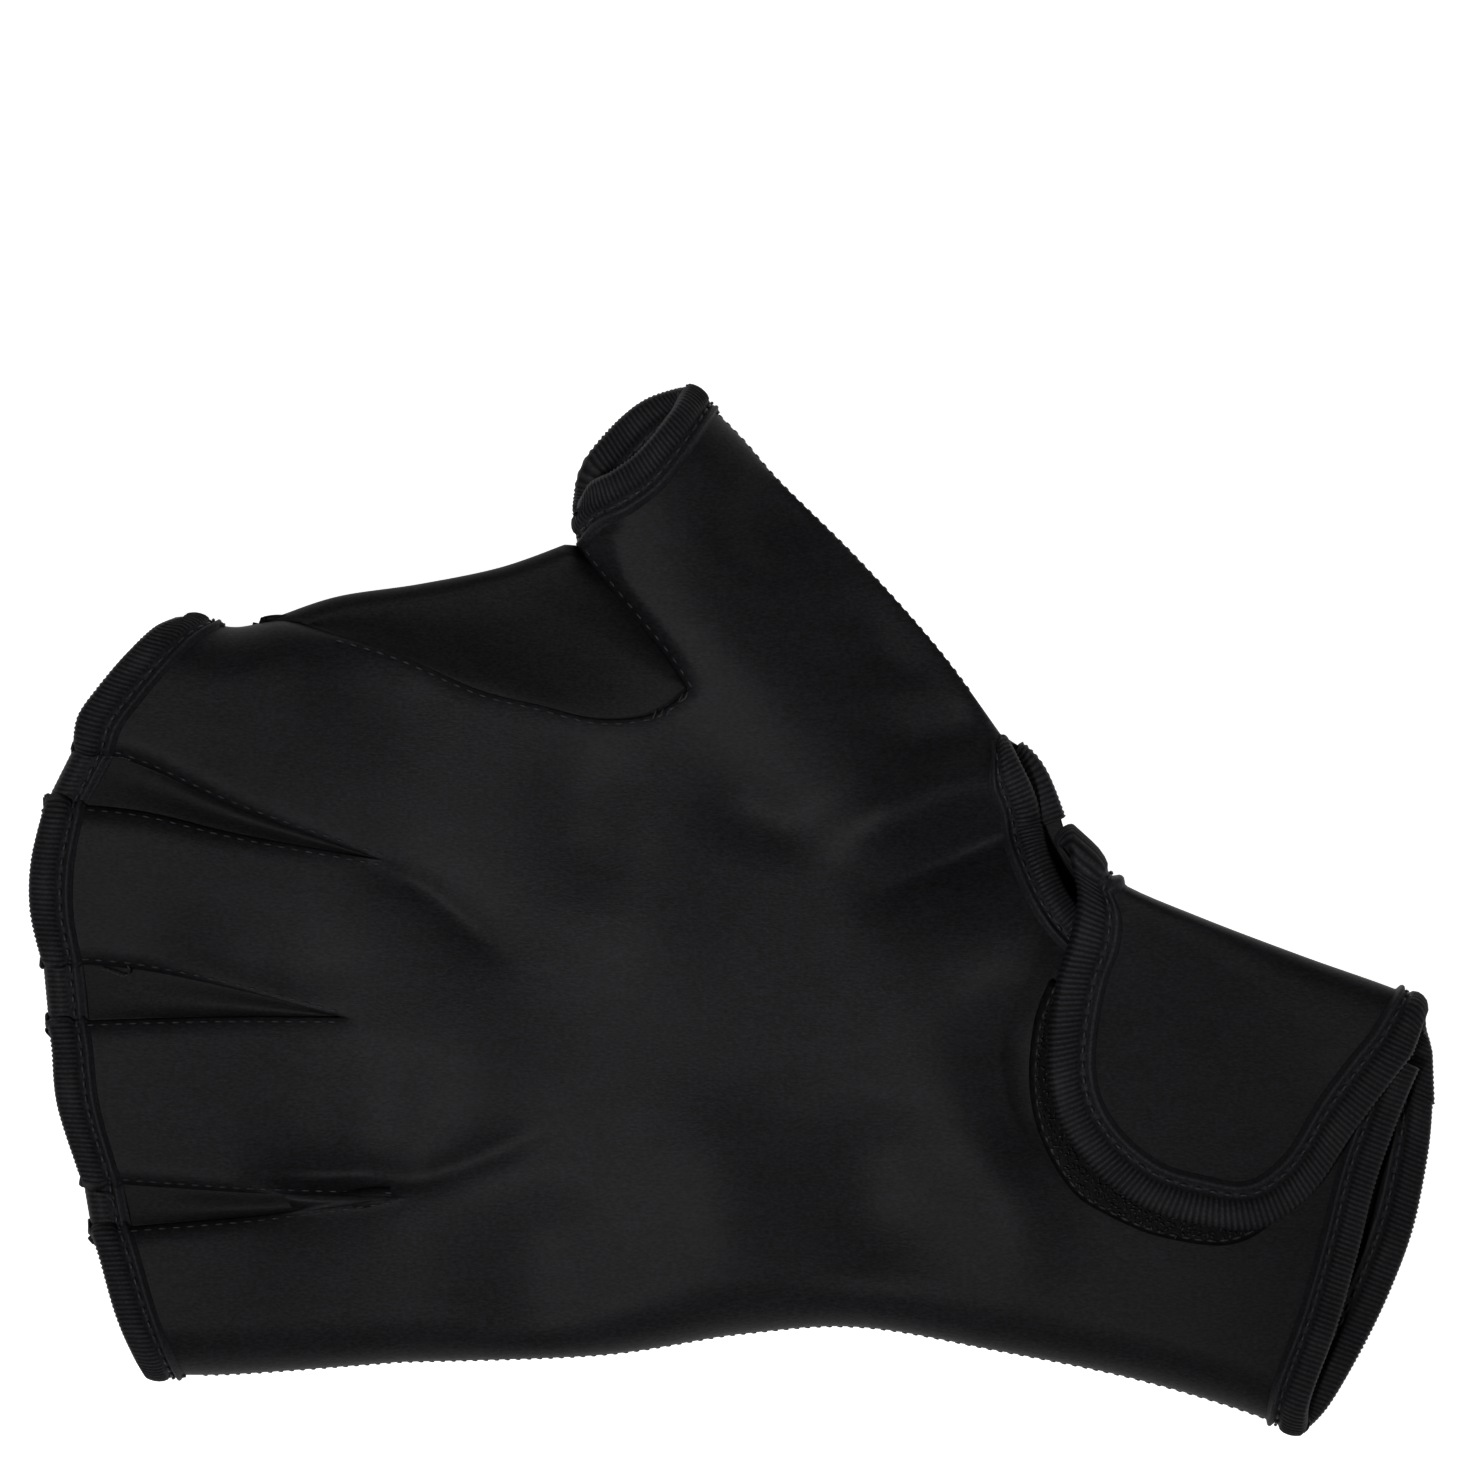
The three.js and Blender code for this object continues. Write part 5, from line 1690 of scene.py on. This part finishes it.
@dataclass
class Strap(Maker):
    """The wrist strap: its rounded tab, its fold and its under half, with the bound edge."""

    stations: int = 180
    tip: float = 0.6              # share of the tab's outline that faces the end of its spine
    ease: float = 0.65            # how much its spokes crowd at the two ends of the spine
    inner_rows: int = 13
    turns: int = 31               # rows round the fold
    under_rows: int = 6
    square: float = 0.5
    slant: float = 0.74           # the tape runs over the fold at a slant, so wider there
    shape: TapeShape = TapeShape(width=6.9)

    def tab_top(self, xy: np.ndarray) -> np.ndarray:
        """Height of the tab's upper face."""
        return self.relief.crown(xy) + TAB_LIFT + WALL

    def fan(self) -> np.ndarray:
        """Plan points of the tab: spokes from its outline in to its spine.

        Returns:
            The points, indexed spoke, distance from the outline, axis.
        """
        t = np.linspace(0, 1, self.stations + 1)
        rim = Line(TAB_OUTLINE).at(t + (self.tip - 0.5) * 4 * t * (1 - t))
        up = 1 - np.abs(2 * t - 1)
        turn = blend(up, smooth(up), self.ease)
        spine = blend(np.array(TAB_SPINE_FOLD), np.array(TAB_SPINE_END), turn[:, None])
        length = np.linalg.norm(rim - spine, axis=1)
        first = self.shape.distances()[None] / length[:, None]
        rest = blend(first[:, -1:], 1, np.linspace(0, 1, self.inner_rows + 1)[None, 1:])
        shares = np.concatenate([first, rest], 1)
        return blend(rim[:, None], spine[:, None], shares[..., None])

    def bend(self, turn_row: np.ndarray) -> np.ndarray:
        """Outer face of the fold and the under half, on the columns of the tab's straight edge.

        Args:
            turn_row: plan points of the tab's straight edge.

        Returns:
            The points, indexed row, column, axis.
        """
        columns = share(turn_row)
        fold = Line(STRAP_FOLD).at(columns ** self.slant)
        under = Line(STRAP_UNDER).at(columns)
        seam = Line(STRAP_SEAM, True).at(columns)
        # the under half lies on its tape at its two ends and on the floor between them
        outwards = np.abs(columns * 2 - 1)
        lift = TAPE_REACH * smooth(outwards * 2.5 - 0.85)
        top = self.tab_top(turn_row)
        middle, radius = (top + lift) / 2, (top - lift) / 2
        rows = []
        angles = np.radians(np.linspace(90, -90, self.turns))
        for across, up in zip(*fold_round(angles, 1, self.square)):
            xy = blend(turn_row if up > 0 else under, fold, across)
            rows.append(with_heights(xy, middle + radius * up))
        for t in np.linspace(0, 1, self.under_rows + 1)[1:]:
            rows.append(with_heights(blend(under, seam, t), lift))
        return np.stack(rows)

    def build(self) -> list[bpy.types.Object]:
        """Makes the strap and its tape.

        Returns:
            The pieces.
        """
        plan = self.fan()
        tab = with_heights(plan, self.tab_top(plan))
        turn_row = np.vstack([plan[0], plan[-1][::-1][1:]])
        bend = self.bend(turn_row)
        cloth = Cloth()
        cloth.add(tab, UP)
        out = np.zeros_like(bend)
        half = self.turns // 2 + 1
        out[:half, :, 2], out[half:, :, 2] = 1, -1
        cloth.add(bend, out)
        strap = self.dresser.piece("wrist_strap", cloth.welded(0.06), NEOPRENE, "neoprene",
                                   ("strap",), WALL)
        rows = len(self.shape.profile)
        face = np.concatenate([bend[:0:-1, :rows], tab[:, :rows], bend[1:, ::-1][:, :rows]])
        ribbon = wrap(face, UP, self.shape)
        return [strap, *Tape("strap", [ribbon], self.dresser, self.shape, 9).build()]


@dataclass
class HookPatch(Maker):
    """The fastening patch on the front sheet, under the tab."""

    stations: int = 150
    rings: int = 14
    pitch: float = 0.9            # spacing of the hooks
    scatter: float = 0.16         # how far they stand off their rings
    stalk: float = 0.65           # height of a hook's stalk, the reach of its bent tip, the
    tip: float = 0.4              # radius of both, and how much thinner each ends
    radii: tuple[float, float] = (0.15, 0.12)
    taper: float = 0.7
    lean: tuple[float, float] = (0.1, 0.35)  # share of its height that a stalk leans
    droop: float = 0.15           # how far the tip bends down
    sewn: float = 0.04            # share of the way to its centre where its stitches run
    clear: tuple[float, float] = (1.3, 1.0)  # width without hooks at its edge and at its centre
    seed: int = 7

    def surface(self, shares: np.ndarray, lift: float) -> np.ndarray:
        """Rings of points from the outline, at shares of the way to the centre.

        Args:
            shares: the shares, 0 at the outline and 1 at the centre.
            lift: height over the patch's underside.

        Returns:
            The points, indexed place round the ring, share, axis.
        """
        rim = Line([*PATCH_OUTLINE, PATCH_OUTLINE[0]]).even(self.stations)
        rim[-1] = rim[0]
        xy = blend(rim[:, None], np.array(PATCH_CENTRE, float), shares[None, :, None])
        return with_heights(xy, self.relief.crown(xy) + PATCH_LIFT + lift)

    def build(self) -> list[bpy.types.Object]:
        """Makes the patch and the stitches round its edge.

        Returns:
            The pieces.
        """
        cloth = Cloth()
        cloth.add(self.surface(np.linspace(0, 1, self.rings + 1), PATCH_THICKNESS), UP)
        patch_piece = self.dresser.piece("fastening_patch", cloth.welded(), HOOK_TAPE_PAINTED_SHADE, "hook",
                                         ("hook_patch",), PATCH_THICKNESS)
        stitches = Stitches("stitches_patch", 0.5)
        line = self.surface(np.array([self.sewn]), PATCH_THICKNESS + 0.1)[:, 0]
        stitches.line(line, 2.0, 0.35)
        return [patch_piece, self.hooks(), stitches.build(self.dresser)]

    def hooks(self) -> bpy.types.Object:
        """Sets the hooks in rings that follow the patch's edge, each bent its own way.

        Returns:
            The hooks.
        """
        random = np.random.default_rng(self.seed)
        mesh = bmesh.new()
        ring_data = bpy.data.meshes.new("ring_of_hooks")
        reach = float(np.linalg.norm(np.subtract(PATCH_OUTLINE, PATCH_CENTRE), axis=1).mean())
        for part in np.arange(self.clear[0], reach - self.clear[1], self.pitch) / reach:
            ring = self.surface(np.array([part]), PATCH_THICKNESS)[:, 0]
            run = running(ring)
            row = bmesh.new()
            for at in np.arange(0, run[-1], self.pitch):
                foot = resampled(ring, run, at)
                foot[:2] += random.normal(0, self.scatter, 2)
                turn, lean = random.uniform(0, 2 * math.pi), random.uniform(*self.lean)
                way = np.array([math.cos(turn), math.sin(turn), 0])
                top = foot + way * lean * self.stalk + UP * self.stalk
                self.limb(row, foot, top, self.radii[0])
                self.limb(row, top, top + way * self.tip - UP * self.droop, self.radii[1])
            row.to_mesh(ring_data)
            row.free()
            mesh.from_mesh(ring_data)
        bpy.data.meshes.remove(ring_data)
        return self.dresser.piece("hooks", mesh, HOOKS_PAINTED_GLINTS, "hook")

    def limb(self, mesh: bmesh.types.BMesh, a: np.ndarray, b: np.ndarray,
             radius: float) -> None:
        """Adds one straight piece of a hook from a to b, four-sided.

        Args:
            mesh: the mesh that takes it.
            a: where it starts, in millimetres.
            b: where it ends.
            radius: its radius at the start, in millimetres.
        """
        place, length = between(a, b)
        bmesh.ops.create_cone(mesh, cap_ends=True, segments=4, radius1=radius * MM,
                              radius2=self.taper * radius * MM, depth=length, matrix=place)


@dataclass(frozen=True)
class Lamp:
    """A soft spotlight whose beam fades out round a spot of the glove."""

    name: str
    place: tuple[float, float, float]  # where it hangs, metres
    power: float                  # watts
    aim: tuple[float, float]      # plan point that it is turned to, millimetres
    beam: float                   # full angle of its beam, degrees
    radius: float = 0.16          # metres

    def hang(self) -> None:
        """Adds the lamp to the scene."""
        data = bpy.data.lights.new(self.name, "SPOT")
        data.shadow_soft_size = self.radius
        data.energy = self.power
        data.spot_size = math.radians(self.beam)
        data.spot_blend = 1.0
        light = placed(self.name, data)
        light.location = self.place
        away = Vector(self.place) - Vector((*self.aim, 0)) * MM
        light.rotation_euler = away.to_track_quat("Z", "Y").to_euler()


LAMPS = (
    Lamp("key", (-0.42, -0.31, 1.68), 160, (-14, 8), 10.6),
    Lamp("cuff_fill", (1.1, -0.3, 0.9), 85, (106, -60), 7),
)


@dataclass
class Studio:
    """Camera straight above, a pale lit table, a lamp nearly overhead and one past the cuff."""

    pixel: float = 0.158          # millimetres of table to a pixel of the photograph
    pixels: int = 1470
    centre: tuple[float, float] = (0.316, 27.57)
    distance: float = 2.0         # metres
    sensor: float = 36.0          # millimetres
    ambient: float = 0.1          # strength of the light from all round
    gamma: float = 0.8            # below 1, which darkens the middle tones as the photo's are

    def camera(self) -> None:
        """A long lens, so that the glove is seen almost without perspective."""
        data = bpy.data.cameras.new("camera")
        data.sensor_width = self.sensor
        width = self.pixel * self.pixels * MM
        data.lens = self.sensor * self.distance / width
        data.clip_end = 20
        camera = placed("camera", data)
        camera.location = (self.centre[0] * MM, self.centre[1] * MM, self.distance)
        bpy.context.scene.camera = camera

    def floor(self) -> None:
        """A plain white table."""
        mesh = bmesh.new()
        bmesh.ops.create_grid(mesh, x_segments=1, y_segments=1, size=6)
        data = mesh_data("floor", mesh)
        # Opal acrylic lit from below: it stays white under the glove, as in the photo
        material = bpy.data.materials.new("opal_acrylic_light_table")
        material.use_nodes = True
        shader = material.node_tree.nodes["Principled BSDF"]
        for name, value in {"Base Color": linear("#a0a0a0"), "Emission Color": (1, 1, 1, 1),
                            "Emission Strength": 1.0, "Roughness": 0.9,
                            "Specular IOR Level": 0.1}.items():
            shader.inputs[name].default_value = value
        data.materials.append(material)
        floor = placed("floor", data)

    def build(self) -> None:
        """Sets up the scene round the glove."""
        self.camera()
        self.floor()
        world = bpy.data.worlds.new("studio")
        world.use_nodes = True
        background = world.node_tree.nodes["Background"]
        background.inputs["Color"].default_value = (1, 1, 1, 1)
        background.inputs["Strength"].default_value = self.ambient
        bpy.context.scene.world = world
        for lamp in LAMPS:
            lamp.hang()
        bpy.context.scene.view_settings.view_transform = "Standard"
        bpy.context.scene.view_settings.gamma = self.gamma


def main() -> None:
    """Builds the glove piece by piece."""
    logging.basicConfig(level=logging.INFO, format="%(name)s %(message)s")
    plan = Plan()
    relief = Relief(plan.seams(), plan.taped())
    dresser = Dresser()
    pieces = []
    for maker in (Shell, Bindings, FingerGussets, ThumbGusset, SeamThreads, Strap, HookPatch):
        pieces += maker(plan, relief, dresser).build()
    named = {piece.name: piece for piece in pieces}
    for cut in CUTS:
        cut.declare(named)
        LOG.info("cloth %s: cut from %g by %g mm", cut.piece, *cut.flat)
    Studio().build()
    LOG.info("%d pieces", len(pieces))


if __name__ == "__main__":
    main()
